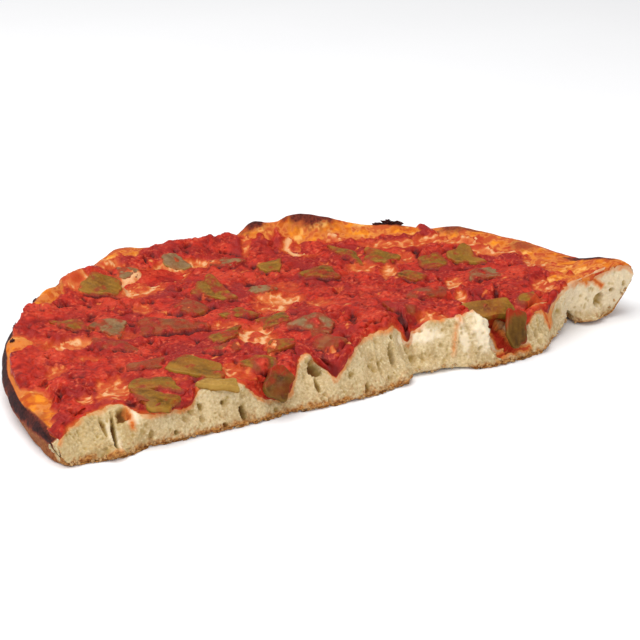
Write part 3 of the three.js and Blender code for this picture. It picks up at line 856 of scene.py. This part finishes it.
streaks = ease(1 - 5 * np.abs(noisy(skin, 7, (1.6, 1, 1), 55)), 0.2, 0.9)
streaks *= ease(noisy(skin, 12, shift=57), -0.3, 0.3) * (0.85 + 0.5 * rag)
dashes = 0.9 * ease(noisy(skin, 4, (2, 1, 1), 61) + 0.5 * rag, 0.0, 0.4) * ease(x, 96, 114)
edge_of_sauce = ease(bare_rim(skin) + 0.3 * rag, 0.9, 0.4)
dyed = np.max((blotches, streaks, dashes, edge_of_sauce), 0) * (1 - side)
crust = rolled_mesh("baked_crust", crust_points, {
    "crumby": end_torn, "char": char * (1 - end_torn), "pale": pale,
    "brown": brown * (1 - end_torn * ease(z, 1.0, 2.5)),
    "stain": 0.95 * dyed * (1 - end_torn) * (1 - 0.4 * left),
}, bread_finish)
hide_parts("bread")

# %% [markdown]
# ## Roasted peppers
# Each piece is a slab of pepper wall, cut small and softened in the oven. Its outline is an uneven
# figure of four or five sides, its edges are round and it lies almost level with the sauce. A
# sphere can be pushed into such a flat pillow with any outline. Its length, width and direction come
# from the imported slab, and it is laid on the dough by fitting a plane to the levels under it. Only
# the two that hang over the tear, and one strip over a pit, keep the slope of their slabs.

# %% Pepper finishes
# Roasted green pepper: thin waxy skin over wet flesh. It has lost its green in the oven, and is
# olive brown on the skin side, greyish on the flesh side and reddish under a film of sauce.
def pepper_finish(name, dark, light, cut_edge, other):
    """Finish of one tone of pepper."""
    material, tree = new_material(name)
    cut, wet, fibre_and_shade = guides_in(tree, "cut", "wet", "fibre_and_shade")
    speck, cloud = clouds(tree, 1.5, 3.0), clouds(tree, 7.0, 3.0)
    # The fibre guide also carries painted shade on the lower side, where it gives the dark tone.
    tone = painted(
        tree, dark, (fibre_and_shade, 0, 1, light), (cloud, 0.35, 0.75, other), (cut, 0, 1, cut_edge),
        (wet, 0, 1, "#942A14"), (speck, 0.5, 0.8, light),
    )
    finished(tree, tone, speck, 0.3, {
        "Roughness": 0.4, "Specular IOR Level": 0.12, "Subsurface Weight": 0.12,
        "Subsurface Radius": (0.003, 0.002, 0.001),
    })
    return material


FINISHES = {
    "olive": pepper_finish("roasted_pepper_skin_side", "#4A2A0A", "#98681E", "#98722A", "#7C5812"),
    "grey": pepper_finish("roasted_pepper_flesh_side", "#5E4026", "#907450", "#8E6E2E", "#7C5E36"),
    "brown": pepper_finish("roasted_pepper_under_sauce", "#6A2816", "#92522E", "#8A5A20", "#7E4822"),
    "pale": pepper_finish("roasted_pepper_cut_edge_up", "#7E5A22", "#B48C46", "#B08A40", "#96702C"),
    "dark": pepper_finish("roasted_pepper_soaked_in_juice", "#2E1A06", "#6E4C1C", "#6C501C", "#5A3A10"),
}
TONES = {
    "grey": "01 03 04 19 24 25 32".split(),
    "brown": "06 08 09 11 21 28 33 36".split(),
    "dark": "hanging_1 hanging_2".split(),
    "pale": "14".split(),
}
print(len(FINISHES), "tones of pepper")

# %% How each pepper lies
# How much of a pepper the sauce covers, where it is more or less than usual.
COVERS = {
    "08": 0.6, "21": 0.7, "24": 0.5, "33": 0.6, "36": 0.7, "09": 0.45, "06": 0.5, "19": 0.4, "28": 0.45,
    "17": 0.35, "10": 0.0, "02": 0.1, "01": 0.1, "34": -0.1, "13": 0.1, "12": 0.1, "14": -0.3, "30": 0.1,
    "15": 0.2, "11": 0.35, "23": 0.5, "05": 0.45, "22": 0.5, "hanging_1": -0.4, "hanging_2": -0.4,
}
USUAL_COVER = 0.35
WET_ABOVE = {"hanging_1": 0.55, "hanging_2": 0.62}  # share of the height above which sauce runs over it
# A soft piece spreads beyond its packed slab, or has shrunk from it.
GROWN = {
    "02": 0.85, "07": 0.85, "10": 0.95, "19": 0.82, "hanging_1": 0.9, "hanging_2": 0.85, "34": 1.2,
    "13": 1.0,
}
USUAL_GROWN = 1.1
HUNG_TAPER = 0.15  # one that hangs over the tear narrows towards its lower end
# How steeply a piece leans: its side towards the rim lies higher, in mm for each mm.
LEANS = {
    "19": 0.4, "07": 0.3, "10": 0.25, "02": 0.2, "01": 0.35, "30": 0.35, "26": 0.25, "29": 0.35,
    "13": 0.2, "15": 0.3,
}
USUAL_LEAN = 0.12
LEAST_LEAN = -0.8  # mm, so that no edge dives into the dough
TOWARDS_RIM, TOWARDS_TEAR = np.array((0.5, 0.87)), np.array((-0.54, -0.84))  # on the plan
HUNG_SUNK = 6.0  # mm that the top of a hanging piece goes into the sauce
SINKING = np.array((0.7, 0.7))  # the way it goes, on the plan
RISEN = 0.6  # share of the way that a piece stands up from the dough to its packed height
CORNER_SHARPNESS = 9
HALF_WALL = 1.05  # mm, half the thickness of a soft piece
# Times as thick as usual.
THICK = {"34": 2.0, "15": 1.2, "30": 1.4, "14": 1.3, "hanging_1": 1.3, "hanging_2": 0.9}
FREE = {"34": 0.34}  # lies over the pit: mm that it is less tilted than its slab, for each mm of length
SHIFTED = {  # mm that a piece has slipped from its packed place
    "34": (-1.0, -2.5, -1.6), "hanging_2": (3.0, 0.5, -2.0), "hanging_1": (2.8, 0.0, 1.2),
    "10": (2.0, -2.5, 0), "13": (3.0, -1.0, 0), "14": (-4.5, 0.5, 0), "15": (3.0, -1.5, 0),
}
LIFT = 1.6  # mm from the dough to the middle of a piece
STEEP = 2.5  # mm: lower readings than this below the usual one lie down the tear
FLAT_SHARE, FLAT_REACH = 0.72, 0.93  # where on the sphere the flat top ends, and how far out that is
crumb_scan, crust_scan = search_tree(crumb), search_tree(crust)
print(len(COVERS), "peppers with their own cover,", len(SHIFTED), "that have slipped")

# %% Pepper pieces
def smear_at(points, cover, rim):
    """How high the sauce stands on a pepper in mm: less than nothing leaves it bare."""
    flat = points * np.array((1, 1, 0))
    smear = noisy(flat, 5, shift=65) + 0.5 * noisy(flat, 2.2, shift=67)
    return np.clip(1.3 * smear + 0.5 * rim - 0.9 + 1.7 * cover, -0.9, 0.8)


def polygon(turn, chance):
    """Outline of an uneven figure of four or five sides with soft corners, by direction."""
    sides = chance.choice((4, 4, 5))
    faces = (np.arange(sides) + chance.uniform(-0.3, 0.3, sides)) * 2 * math.pi / sides
    apart = chance.uniform(0.78, 1.02, sides)
    closeness = np.maximum(np.cos(turn[:, None] - faces), 0) / apart
    return (closeness ** CORNER_SHARPNESS).sum(1) ** (-1 / CORNER_SHARPNESS)


def dough_levels(plan):
    """Level of the bread's top over an array of plan points."""
    return np.fmax(levels(crumb_scan, plan), levels(crust_scan, plan))


def lie_of(node):
    """Middle, axes and half sizes of a packed slab, in millimetres."""
    corners = np.array([v.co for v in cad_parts[node].data.vertices]) / MM
    corners = np.unique(corners.round(3), axis=0)
    middle = (corners.min(0) + corners.max(0)) / 2
    ways = np.linalg.svd(corners - corners.mean(0), full_matrices=False)[2]
    if ways[2][2] < 0:
        ways[2] = -ways[2]
    ways[0] = np.cross(ways[1], ways[2])
    halves = [np.ptp((corners - middle) @ way) / 2 for way in ways]
    return middle, ways, halves


def laid(places):
    """The dough under some places: a plane fitted to it, bent half way to its real level."""
    found = dough_levels(places[:, :2])
    known = found > np.nanmedian(found) - STEEP
    terms = np.concatenate((places[:, :2], np.ones((len(places), 1))), 1)
    plane = terms @ np.linalg.lstsq(terms[known], found[known], rcond=None)[0]
    return plane + 0.5 * np.clip(np.where(known, found, plane) - plane, -0.8, 1.2)


def pillow(seed):
    """A sphere as a flat pillow: the bmesh, places on it along u and v, how far out, and how high."""
    shape = bmesh.new()
    bmesh.ops.create_uvsphere(shape, u_segments=60, v_segments=32, radius=1.0)
    ball = np.array([v.co for v in shape.verts])
    turn = np.arctan2(ball[:, 1], ball[:, 0])
    from_pole = 1 - np.abs(np.arcsin(np.clip(ball[:, 2], -1, 1))) / (math.pi / 2)
    rounding = np.clip((from_pole - FLAT_SHARE) / (1 - FLAT_SHARE), 0, 1) * math.pi / 2
    radius = FLAT_REACH * np.minimum(from_pole / FLAT_SHARE, 1) + (1 - FLAT_REACH) * np.sin(rounding)
    up = np.sign(ball[:, 2]) * np.cos(rounding)
    ring = np.stack((np.cos(turn), np.sin(turn), np.full(len(turn), seed * 1.7)), 1)
    outline = polygon(turn, np.random.default_rng(100 + seed))
    outline *= 1 + 0.16 * noisy(ring, 1.1) + 0.16 * noisy(ring, 0.45, shift=7)
    return shape, radius * outline * np.cos(turn), radius * outline * np.sin(turn), radius, up


def pepper_guides(key, seed, places, flat, v, radius, up, facing, top_share):
    """Guide values of a pepper: how cut, how wet with sauce, and the tone of its fibres with painted shade on
    its lower side.
    """
    cut = ease(radius, 0.8, 0.97) * (0.75 + 0.6 * noisy(places, 4, shift=seed))
    cut *= (0.1 + 0.9 * ease(facing, -0.3, 0.4)) * ease(up, -0.7, 0.1)
    sauce_level = smear_at(places, COVERS.get(key, USUAL_COVER), ease(radius, 0.8, 1.0))
    film = 0.85 * ease(sauce_level, -0.6, 0.1)
    juice = 0.3 * ease(noisy(places, 9, shift=seed + 9), 0.0, 0.7)
    far_rim = 0.7 * ease(radius + 0.3 * noisy(places, 3), 0.75, 1.05) * ease(facing, 0.3, -0.3)
    wet = np.max((film, juice, far_rim), 0)
    if key in WET_ABOVE:
        wet = np.maximum(wet, ease(top_share + 0.25 * noisy(places, 4), WET_ABOVE[key], WET_ABOVE[key] + 0.3))
    fibre_and_shade = 0.5 + 0.6 * noisy(flat, 2.6, (4.0, 1, 1), 11, octaves=3) + 0.7 * noisy(flat, 10, shift=13)
    fibre_and_shade = fibre_and_shade + 0.35 * ease(np.abs(v), 0.5, 0.95) * ease(noisy(flat, 8, shift=17), -0.2, 0.3)
    fibre_and_shade = np.clip(fibre_and_shade, 0, 1) * ease(up, -0.6, 0.35)  # painted shade: the lower side is darker
    return {name: np.clip(value, 0, 1) for name, value in (("cut", cut), ("wet", wet), ("fibre_and_shade", fibre_and_shade))}


def pepper_piece(node, seed):
    """One piece of pepper."""
    middle, (long_way, wide_way, up_way), (half_long, half_wide, _) = lie_of(node)
    key = node.removeprefix("pepper_")
    shape, u, v, radius, up = pillow(seed)
    taper, skew = 0.5 * noise.noise((seed * 2.3, 4.5, 0.5)), 0.4 * noise.noise((seed * 2.9, 8.5, 0.5))
    if "hanging" in node:
        taper, skew = math.copysign(HUNG_TAPER, long_way[2]), 0.0
        v = v * (1.3 - 0.4 * u * u)
    u, v = u + skew * v, v * (1 + taper * u)
    grown = GROWN.get(key, USUAL_GROWN)
    along, across = u * half_long * grown, v * half_wide * grown
    flat = np.stack((along, across, np.zeros_like(u)), 1) + seed * 31.0
    places = middle + np.outer(along, long_way) + np.outer(across, wide_way)
    warp = 0.9 * noisy(flat, 9) - 0.5 * radius ** 3
    fold = 0.3 * (0.3 - np.abs(noisy(flat, 4.5, (2.5, 1, 1), 3))) + 0.12 * noisy(flat, 1.8, (2, 1, 1), 5)
    height = up * HALF_WALL * THICK.get(key, 1.0) + warp + np.where(up > 0, fold, 0)
    places += SHIFTED.get(key, (0.0, 0.0, 0.0))
    top_share = (places[:, 2] - places[:, 2].min()) / np.ptp(places[:, 2])
    if "hanging" in node:
        places += np.outer(height, up_way)
        places[:, :2] += np.outer(HUNG_SUNK * ease(top_share, 0.4, 0.9), SINKING)
    elif key in FREE:
        places += np.outer(height, up_way)
        places[:, 2] += FREE[key] * along * math.copysign(1, long_way[0])
    else:
        lying = laid(places) + LIFT
        lean = LEANS.get(key, USUAL_LEAN) * ((places[:, :2] - middle[:2]) @ TOWARDS_RIM)
        lying += RISEN * (middle[2] - lying.mean())
        places[:, 2] = lying + np.maximum(lean, LEAST_LEAN) + height
    away = places - middle
    facing = (away[:, :2] / np.maximum(np.linalg.norm(away, axis=1), 1)[:, None]) @ TOWARDS_TEAR
    dressed(shape, pepper_guides(key, seed, places, flat, v, radius, up, facing, top_share), places)
    tone = next((name for name, keys in TONES.items() if key in keys), "olive")
    piece = placed(f"roasted_{node}", shape, FINISHES[tone])
    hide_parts(node)
    return piece


pepper_pieces = {node: pepper_piece(node, k) for k, node in enumerate(PEPPERS)}

# %% [markdown]
# ## Tomato sauce
# The sauce is cooked pulp, spread thinly. It lies in soft lumps with creases between them, which
# are darkened with painted shade, laps over the edges of the peppers, and thins to an orange film
# where the dough bulges. It is a skin over the bread: each of its points is a point of the bread
# moved out along the normal by the sauce's thickness, so it can also run down the torn face. Its
# underside is sunk into the bread so that no gap can show.

# %% Surface under the sauce
SAUCE_STATIONS, SAUCE_ROWS = 470, 204
SAUCE_FROM, SAUCE_TO = -151.5, 128.0  # mm along X
FRONT_SPARE = 3.0  # mm of rows in front of the line where the sauce begins
RIM_LEFT_FREE, LEAST_DEPTH = 1.0, 4.0  # mm at the rim, and of rows on the shortest station
FIRST_ROWS = 0.4  # share of evenly spaced rows: the rest are closer together at the tear
FACE_ROWS_LEFT_OUT = 14
at = (np.linspace(SAUCE_FROM, SAUCE_TO, SAUCE_STATIONS) - tear_x[0]) / (tear_x[-1] - tear_x[0])


def between(grid, at):
    """Values of a grid at places between its stations, given from 0 to 1."""
    place = at * (len(grid) - 1)
    lower = np.minimum(place.astype(int), len(grid) - 2)
    part = (place - lower).reshape(-1, *(1,) * (grid.ndim - 1))
    return grid[lower] * (1 - part) + grid[lower + 1] * part


def along_walk(points, behind, targets):
    """Points at wanted distances behind the tear's upper edge, on each station."""
    return np.array([
        np.stack([np.interp(wanted, far, strip[:, k]) for k in range(3)], 1)
        for strip, far, wanted in zip(points, behind, targets)
    ])


crumb_rows = slice(rows_of(CRUMB_WALK, "face").start + FACE_ROWS_LEFT_OUT, rows_of(CRUMB_WALK, "edge").stop)
crust_rows = slice(rows_of(CRUST_WALK, "edge").start, rows_of(CRUST_WALK, "shoulder").stop)
crumb_far, crust_far = between(crumb_behind, at)[:, crumb_rows], between(crust_behind, at)[:, crust_rows]
edge_x = between(crumb_skin[:, rows_of(CRUMB_WALK, "edge").start, 0], at)
row_share = np.linspace(0, 1, SAUCE_ROWS)
row_share = FIRST_ROWS * row_share + (1 - FIRST_ROWS) * row_share ** 2
row_from = front_at(edge_x) - FRONT_SPARE
row_to = np.maximum(crust_far[:, -1] - RIM_LEFT_FREE, row_from + LEAST_DEPTH)
behind = row_from[:, None] + (row_to - row_from)[:, None] * row_share
before_rim = row_to[:, None] - behind
on_crumb = along_walk(between(crumb_points, at)[:, crumb_rows], crumb_far, behind)
on_crust = along_walk(between(crust_points, at)[:, crust_rows], crust_far, behind)
share_of_crust = ease(behind - front_at(on_crumb[..., 0]), 4.0, 7.0)[..., None]
dough = blurred(on_crumb * (1 - share_of_crust) + on_crust * share_of_crust, 0.8, 0.8)
upwards = normals(blurred(dough, 3.0, 3.0), ring=False)
plan = dough[..., :2]
lowest, highest = dough[..., 2].min().round(1), dough[..., 2].max().round(1)
print("sauce grid", dough.shape[:2], "levels", lowest, "to", highest)

# %% Peppers under the sauce
pepper_top, pepper_mask, cover = np.zeros((3, *plan.shape[:2]))
for node, piece in pepper_pieces.items():
    if "hanging" in node:
        continue
    spots = np.array([v.co for v in piece.data.vertices])[:, :2] / MM
    near = ((plan > spots.min(0)) & (plan < spots.max(0))).all(2) & (behind > -2)
    tops = levels(search_tree(piece), plan[near][:, None])[:, 0]
    hit = np.isfinite(tops)
    rows, columns = np.argwhere(near)[hit].T
    pepper_top[rows, columns] = tops[hit]
    pepper_mask[rows, columns] = 1
    cover[rows, columns] = COVERS.get(node.removeprefix("pepper_"), USUAL_COVER)
on_pepper = pepper_mask > 0
near_pepper = blurred(pepper_mask, 2.5, 2.5)
near_top = blurred(pepper_top * pepper_mask, 2.5, 2.5) / np.maximum(near_pepper, 1e-6)
print("share of the sauce over a pepper:", round(float(on_pepper.mean()), 3))

# %% Thin places
# Where dough shows through: X, Y, half length, half width in mm, turn, strength, and 1 for a ring.
THIN_PLACES = [
    (-113, -2, 7, 5.5, -33, 1, 0), (-102, -2, 7, 5, -33, 1, 0), (-121, 8, 6, 4, -33, 0.5, 0),
    (-73, 58, 9, 8, -33, 0.8, 0), (-55, 73, 9, 5.5, -33, 1, 0), (-48, 48, 15, 10, 57, 1, 1),
    (-26, 55, 11, 7, 57, 0.95, 0), (-9, 59, 8, 4, -33, 1, 0), (-3, -3, 10, 7, -33, 1, 0),
    (-11, -12, 8, 5.5, -33, 0.8, 0), (8, 9, 7, 7, 57, 0.45, 0), (43, 53, 10, 8, 57, 0.95, 1),
    (21, 66, 9, 2, 57, 0.6, 0), (8, -20, 6, 5, 57, 0.55, 0), (-36, -38, 11, 7, 57, 1, 1),
    (-37, -52, 10, 3, 57, 0.85, 0), (-40, -21, 7, 5, -33, 0.55, 0), (-64, -66, 9, 6, 57, 0.7, 0),
    (-109, -20, 5, 3, -33, 0.6, 0), (-127, -26, 6, 4, 57, 0.7, 0), (-116, -56, 11, 7, 57, 0.8, 0),
    (-129, -57, 4, 3, 57, 0.7, 0), (-61, 20, 6, 4, 57, 0.55, 0), (-85, -5, 7, 4, -33, 0.45, 0),
    (62, 53, 8, 5, -33, 1, 0), (60, 0, 9, 4, 57, 1, 0), (53, 13, 7, 5, -33, 0.75, 0),
    (70, 28, 5, 2, -33, 1, 0), (77, 13, 6, 4, 57, 0.6, 0), (75, -31, 8, 3.5, 57, 1, 0),
    (66, -48, 7, 2.5, 57, 1, 0), (113, 8, 12, 4, -40, 1, 0), (118, -8, 13, 4, -42, 1, 0),
    (122, -29, 7, 5, 57, 0.9, 0), (100, 21, 9, 4, -33, 0.85, 0), (27, -7, 4, 2, 57, 0.6, 0),
    (39, -64, 7, 4, -33, 0.8, 0), (39, 27, 3, 3, -33, 0.6, 0), (-76, 70, 7, 4, 33, 0.7, 0),
    (107, -57, 8, 5, 57, 0.7, 0), (92, -70, 6, 4, 57, 0.6, 0), (-90, -62, 5, 3, 0, 0.4, 0),
    (82, 30, 14, 4, -38, 0.7, 0), (75, -66, 4, 3, 0, 0.4, 0),
]
# Hollows between lumps, which painted shade also darkens: X, Y, half length, half width in mm, turn, and
# depth in mm.
DIPS = [
    (-136, -48, 12, 2.5, 57, 2.2), (-122, -38, 5, 3, -33, 1.6), (-36, 3, 6, 4, 57, 2.2),
    (-3, 22, 5, 4, 57, 2), (-10, 70, 6, 3, 57, 1.5), (-85, 23, 6, 3, 57, 1.8), (85, 14, 6, 2.5, 57, 2),
    (86, -48, 13, 2, 57, 2.4), (6, -51, 11, 2.5, 57, 2.4), (-10, -70, 8, 3, 57, 2),
    (-103, -39, 7, 3, 57, 1.8), (11, 41, 5, 2.5, 57, 1.5), (-51, 4, 7, 2, -33, 1.6),
    (-98, 44, 6, 3, -33, 1.3), (-69, -15, 5, 2.5, -33, 1.6), (-81, 4, 5, 2.5, -33, 1.4),
    (56, -44, 6, 2, 57, 1.5), (30, 10, 6, 2, 20, 1.2), (100, -25, 6, 2.5, -40, 1.3),
    (-30, -60, 6, 2, 57, 1.3),
]
flat_plan = dough * np.array((1, 1, 0.4))
shreds = noisy(flat_plan, 5, (1.6, 1, 1), 41) + 0.7 * noisy(flat_plan, 2.2, (1.5, 1, 1), 43)
apart, nearest = ovals(plan, THIN_PLACES)
strength, ring = np.array([place[5:] for place in THIN_PLACES]).T[:, nearest]
patch = strength * ease(apart + 0.4 * shreds, 1.5, 0.7) * ease(behind, -1, 3)
patch *= 1 - 0.5 * ring * ease(apart + 0.25 * shreds, 0.55, 0.3)
torn_plan = flat_plan + 1.2 * shreds[..., None]
ridges = ease(1 - 4.6 * np.abs(noisy(torn_plan, 4.0, (1.6, 1, 1), 45)), 0.1, 0.8)
mottled = 0.5 + 0.8 * noisy(flat_plan, 2.6, shift=46, octaves=2)
bare = np.clip(patch * (0.36 + 0.25 * shreds + 0.9 * ridges * mottled + 0.25 * mottled), 0, 1)
bare = np.maximum(bare, strength * ring * ease(np.abs(apart - 0.7 + 0.25 * shreds), 0.35, 0.05))
flecks = 0.7 * ease(noisy(flat_plan, 3.2, (1.5, 1, 1), 47, octaves=2), 0.42, 0.75)
flecks *= ease(noisy(flat_plan, 16, shift=48), -0.05, 0.3)
flecks *= ease(behind, -1, 3) * ease(plan[..., 0], -143, -136)
bare = np.maximum(bare, flecks)
no_sauce = bare_rim(dough)
outer = ease(before_rim, 30.0, 26.0)  # past a bare place near the rim, the rest is bare too
no_sauce = np.maximum(no_sauce, np.maximum.accumulate(no_sauce * outer, axis=1))
print("share of the sauce that is thin:", round(float((bare > 0.5).mean()), 3))

# %% Relief of the sauce
DEPTH, THINNEST = 3.0, 0.3  # usual and least thickness in mm
SINK = 1.0  # mm under the dough where there is no sauce
swell = 0.8 * noisy(flat_plan, 24, shift=51) + 0.8 * noisy(flat_plan, 11, shift=53)
bent = flat_plan + 3.0 * np.stack([noisy(flat_plan, 7, shift=s) for s in (69, 70, 72)], -1)
large, small = (
    ease(np.ptp(cells(bent, size, shift=s), -1), 0, 0.6) - 0.6 for size, s in ((7.5, 55), (3.4, 57))
)
lumpy = 0.3 + 0.7 * ease(noisy(flat_plan, 16, shift=73), -0.3, 0.3)
pulp = lumpy * 2.1 * large + (0.2 + 0.8 * lumpy) * 0.8 * small
pulp += 0.35 * noisy(flat_plan, 2.2, shift=59, octaves=2)
crack = ease(noisy(bent, 7, shift=71, octaves=2), 0.35, 0.6)
dip = np.max([place[5] * ease(ovals(plan, [place])[0] + 0.5 * shreds, 1.1, 0.2) for place in DIPS], 0)
thick = DEPTH + swell + pulp - 1.8 * crack - dip
film = 0.45 + 0.5 * ridges * patch + 0.15 * noisy(flat_plan, 1.8, shift=61)
thick = np.maximum(thick * (1 - patch) + film * patch, THINNEST)
thick = DEPTH + (thick - DEPTH) * (0.65 + 0.35 * ease(before_rim, 2.0, 14.0))
edge_rag = noisy(flat_plan, 6, shift=63) * 1.3 + noisy(flat_plan, 2.2, shift=64) * 0.8
ends = np.minimum(np.arange(SAUCE_STATIONS), SAUCE_STATIONS - 1 - np.arange(SAUCE_STATIONS))
inside_front = behind - front_at(dough[..., 0])
fade = ease(before_rim + edge_rag, 0.2, 3.0) * np.sqrt(ease(inside_front + edge_rag, 0.0, 3.2))
fade = fade * ease(ends + 2 * edge_rag[:, SAUCE_ROWS // 2], 0, 8)[:, None] * (1 - no_sauce)
thick = thick * (1 - 0.45 * ease(behind, 0.0, -3.0))  # thinner on the torn face
top = dough + upwards * ((thick + SINK) * fade - SINK)[..., None]
print("sauce up to", round(float((thick * fade).max()), 1), "mm thick")

# %% Sauce round the peppers
# On the side where the sauce has shrunk away, a narrow gap runs along the pepper, darkened with painted
# shade.
GAP, ACROSS, UP_TO = 1.6, 1, 2  # mm deep, and stations and rows wide
level = top[..., 2]
bank = ease(near_pepper, 0.02, 0.4) * fade
raised = level + bank * 0.8 * np.maximum(near_top - 0.2 - level, 0)
lap = smear_at(dough, cover, ease(blurred(pepper_mask, 1.2, 1.2), 1.0, 0.5))
behind_it = np.roll(pepper_mask, (-ACROSS, -UP_TO), (0, 1))  # a pepper stands just behind this place
gap = blurred(behind_it * (1 - pepper_mask), 0.7, 0.7) * fade
gap *= 0.5 + 0.5 * ease(noisy(flat_plan, 6, shift=75), -0.3, 0.1)
raised -= GAP * gap
level = blurred(np.where(on_pepper, pepper_top + lap + 0.25 * pulp * (lap > 0), raised), 0.45, 0.45)
stays = ease(behind, -2.5, -0.5) * ease(near_pepper, 0.0, 0.02)
top[..., 2] += stays * (level - top[..., 2])
hollow = blurred(top[..., 2], 4.0, 3.0) - top[..., 2]
film_on_pepper = on_pepper * ease(lap, 0.75, 0.0)
print("deepest crease", round(float(hollow.max()), 1), "mm")

# %% Sauce finish
# Cooked tomato: moist pulp with a satin sheen, with painted shade in its creases and lighter specks
# that also stand for painted highlights. Where it is thin it takes the orange of the oiled dough, and
# the bare dough on the crests is cream.
sauce_finish, tree = new_material("cooked_tomato_pulp")
thin, crease_shade, film = guides_in(tree, "thin", "crease_shade", "film")
mottle, grain, broad = clouds(tree, 5.0, 4.0, 0.5), clouds(tree, 1.5, 3.0), clouds(tree, 22.0, 2.0)
rough = stretched(tree, clouds(tree, 11.0, 2.0), 0.38, 0.52)  # the pulp is coarse here and there
red = painted(
    tree, "#82110A", (mottle, 0.36, 0.64, "#BC2C18"), (broad, 0.50, 0.38, "#921E19"),
    (broad, 0.54, 0.66, "#BE3820"),
)
# Dark grain specks, and lighter pulp specks that also stand for painted highlights, where the pulp is coarse.
for start, end, tone in ((0.44, 0.28, "#740E09"), (0.54, 0.72, "#CC5638")):
    inputs = {0: stretched(tree, grain, start, end), 1: rough}
    specks_and_glints = add(tree, "ShaderNodeMath", {"operation": "MULTIPLY"}, inputs).outputs[0]
    red = mixed(tree, specks_and_glints, red, tone)
cream = painted(
    tree, red, (crease_shade, 0, 1, "#480604"), (film, 0, 1, "#843A1A"), (thin, 0.05, 0.35, "#B8441C"),
    (thin, 0.35, 0.6, "#CC7238"), (thin, 0.6, 1.0, "#DCA878"),
)
finished(tree, cream, grain, 0.35, {
    "Roughness": 0.45, "Specular IOR Level": 0.14, "Subsurface Weight": 0.08,
    "Subsurface Radius": (0.002, 0.0006, 0.0004),
})

# %% Closed skin of the sauce
UNDER_ROWS = 5
UNDER = 2.4  # mm that the underside lies in the bread
back_rows = np.linspace(SAUCE_ROWS - 1, 0, UNDER_ROWS).astype(int)
sauce_points = np.concatenate((top, (dough - upwards * UNDER)[:, back_rows]), 1)
thinness = np.maximum(bare, 0.52 * ease(fade + 0.15 * shreds, 0.75, 0.2))
# Painted shade: the sauce is darker in the hollows of its relief, in the dips and in the gap along the
# peppers, and less so on the torn face.
painted_crease_shade = ease(hollow, 0.2, 1.4) + 0.35 * ease(dip, 0.5, 2.0)
painted_crease_shade = painted_crease_shade * (1 - 0.4 * ease(behind, 3.0, -3.0)) + 0.7 * gap
nothing = np.zeros((SAUCE_STATIONS, UNDER_ROWS))  # on the rows of the underside
sauce = rolled_mesh("tomato_sauce_layer", sauce_points, {
    name: np.concatenate((np.clip(values, 0, 1), nothing), 1)
    for name, values in (("thin", thinness), ("crease_shade", painted_crease_shade), ("film", film_on_pepper))
}, sauce_finish)
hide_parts("tomato_sauce")

# %% [markdown]
# ## Burnt bits and crumbs
# Bits of dough that were pulled up on the rim have burnt to black flakes, and where the base was
# torn, loose crumbs still hang on the bread. Each is a small ball that noise has pulled out of
# shape: the flakes are flat and spiky, the crumbs round. Each kind is one piece.

# %% A piece made of many bits
def bits(name, places, detail, spikes, brown, char):
    """One piece of many bits, each given as a place and half sizes in mm, and a turn in degrees."""
    shape = bmesh.new()
    for i, (place, halves, turn) in enumerate(places):
        ball = bmesh.ops.create_icosphere(shape, subdivisions=detail, radius=1.0)["verts"]
        c, s = math.cos(math.radians(turn)), math.sin(math.radians(turn))
        for vertex in ball:
            pull = 1 + spikes * noise.noise(vertex.co * 1.7 + Vector((i * 3.7, 0, 0)))
            pull += 0.6 * spikes * noise.noise(vertex.co * 4.1 + Vector((0, i * 3.7, 0)))
            a, b, up = (vertex.co[k] * pull * halves[k] for k in range(3))
            vertex.co = Vector((place[0] + a * c - b * s, place[1] + a * s + b * c, place[2] + up)) * MM
    guides = {"crumby": 1.0, "brown": brown, "char": char}
    dressed(shape, {key: np.full(len(shape.verts), value) for key, value in guides.items()})
    piece = placed(name, shape, bread_finish, smooth=False)
    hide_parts("bread")
    return piece


# Where the black flakes sit: X and Y, half sizes in mm and turn.
FLAKES = [
    (87, 48, (2.6, 0.9, 0.5), -35), (90, 46, (2.2, 1.2, 1.0), -60), (93, 45, (2.6, 1.0, 0.8), -20),
    (-118, 33, (0.7, 0.7, 1.3), 0), (-119, 31, (0.6, 0.8, 0.6), 30), (-96, 62, (1.4, 0.6, 0.5), 40),
    (-106, 50, (1.2, 0.6, 0.4), 50), (-128, 14, (1.0, 0.8, 0.6), 60), (-101, 56, (0.8, 0.6, 0.5), 40),
]
FLAKE_SEARCH = 12  # mm inwards from the rim in which a flake finds the crust
flakes = []
for fx, fy, halves, turn in FLAKES:
    spot = np.array((fx, fy))
    inwards = (heart - spot) / np.linalg.norm(heart - spot)
    for step in range(FLAKE_SEARCH):
        place = spot + inwards * step
        level = level_at(crust_scan, *place)
        if math.isfinite(level):
            flakes.append(((*place, level + 0.5 * halves[2]), halves, turn))
            break
bits("burnt_flakes", flakes, 4, 1.3, 0.0, 1.0)

# %% Crumbs along the foot of the tear
chance = np.random.default_rng(7)
CRUMBS, ENDS_LEFT_OUT = 150, 8  # how many, and the stations at each end that have none
SMALLEST, LARGEST, SHAPES = 0.3, 0.8, (0.7, 1.2)  # half sizes in mm, and how uneven they are
lip_rows = rows_of(CRUMB_WALK, "lip")
crumbs = []
for station in chance.integers(ENDS_LEFT_OUT, CRUMB_STATIONS - ENDS_LEFT_OUT, CRUMBS):
    row = chance.integers(lip_rows.start, lip_rows.stop + 2)
    place = crumb_points[station, row] + 0.2 * crumb_out[station, row]
    size = chance.uniform(SMALLEST, LARGEST)
    halves = size * chance.uniform(*SHAPES, 3)
    crumbs.append(((*place[:2], max(place[2], 1.5 * halves[2])), halves, chance.uniform(0, 180)))
bits("loose_crumbs", crumbs, 2, 0.8, 0.6, 0.0)
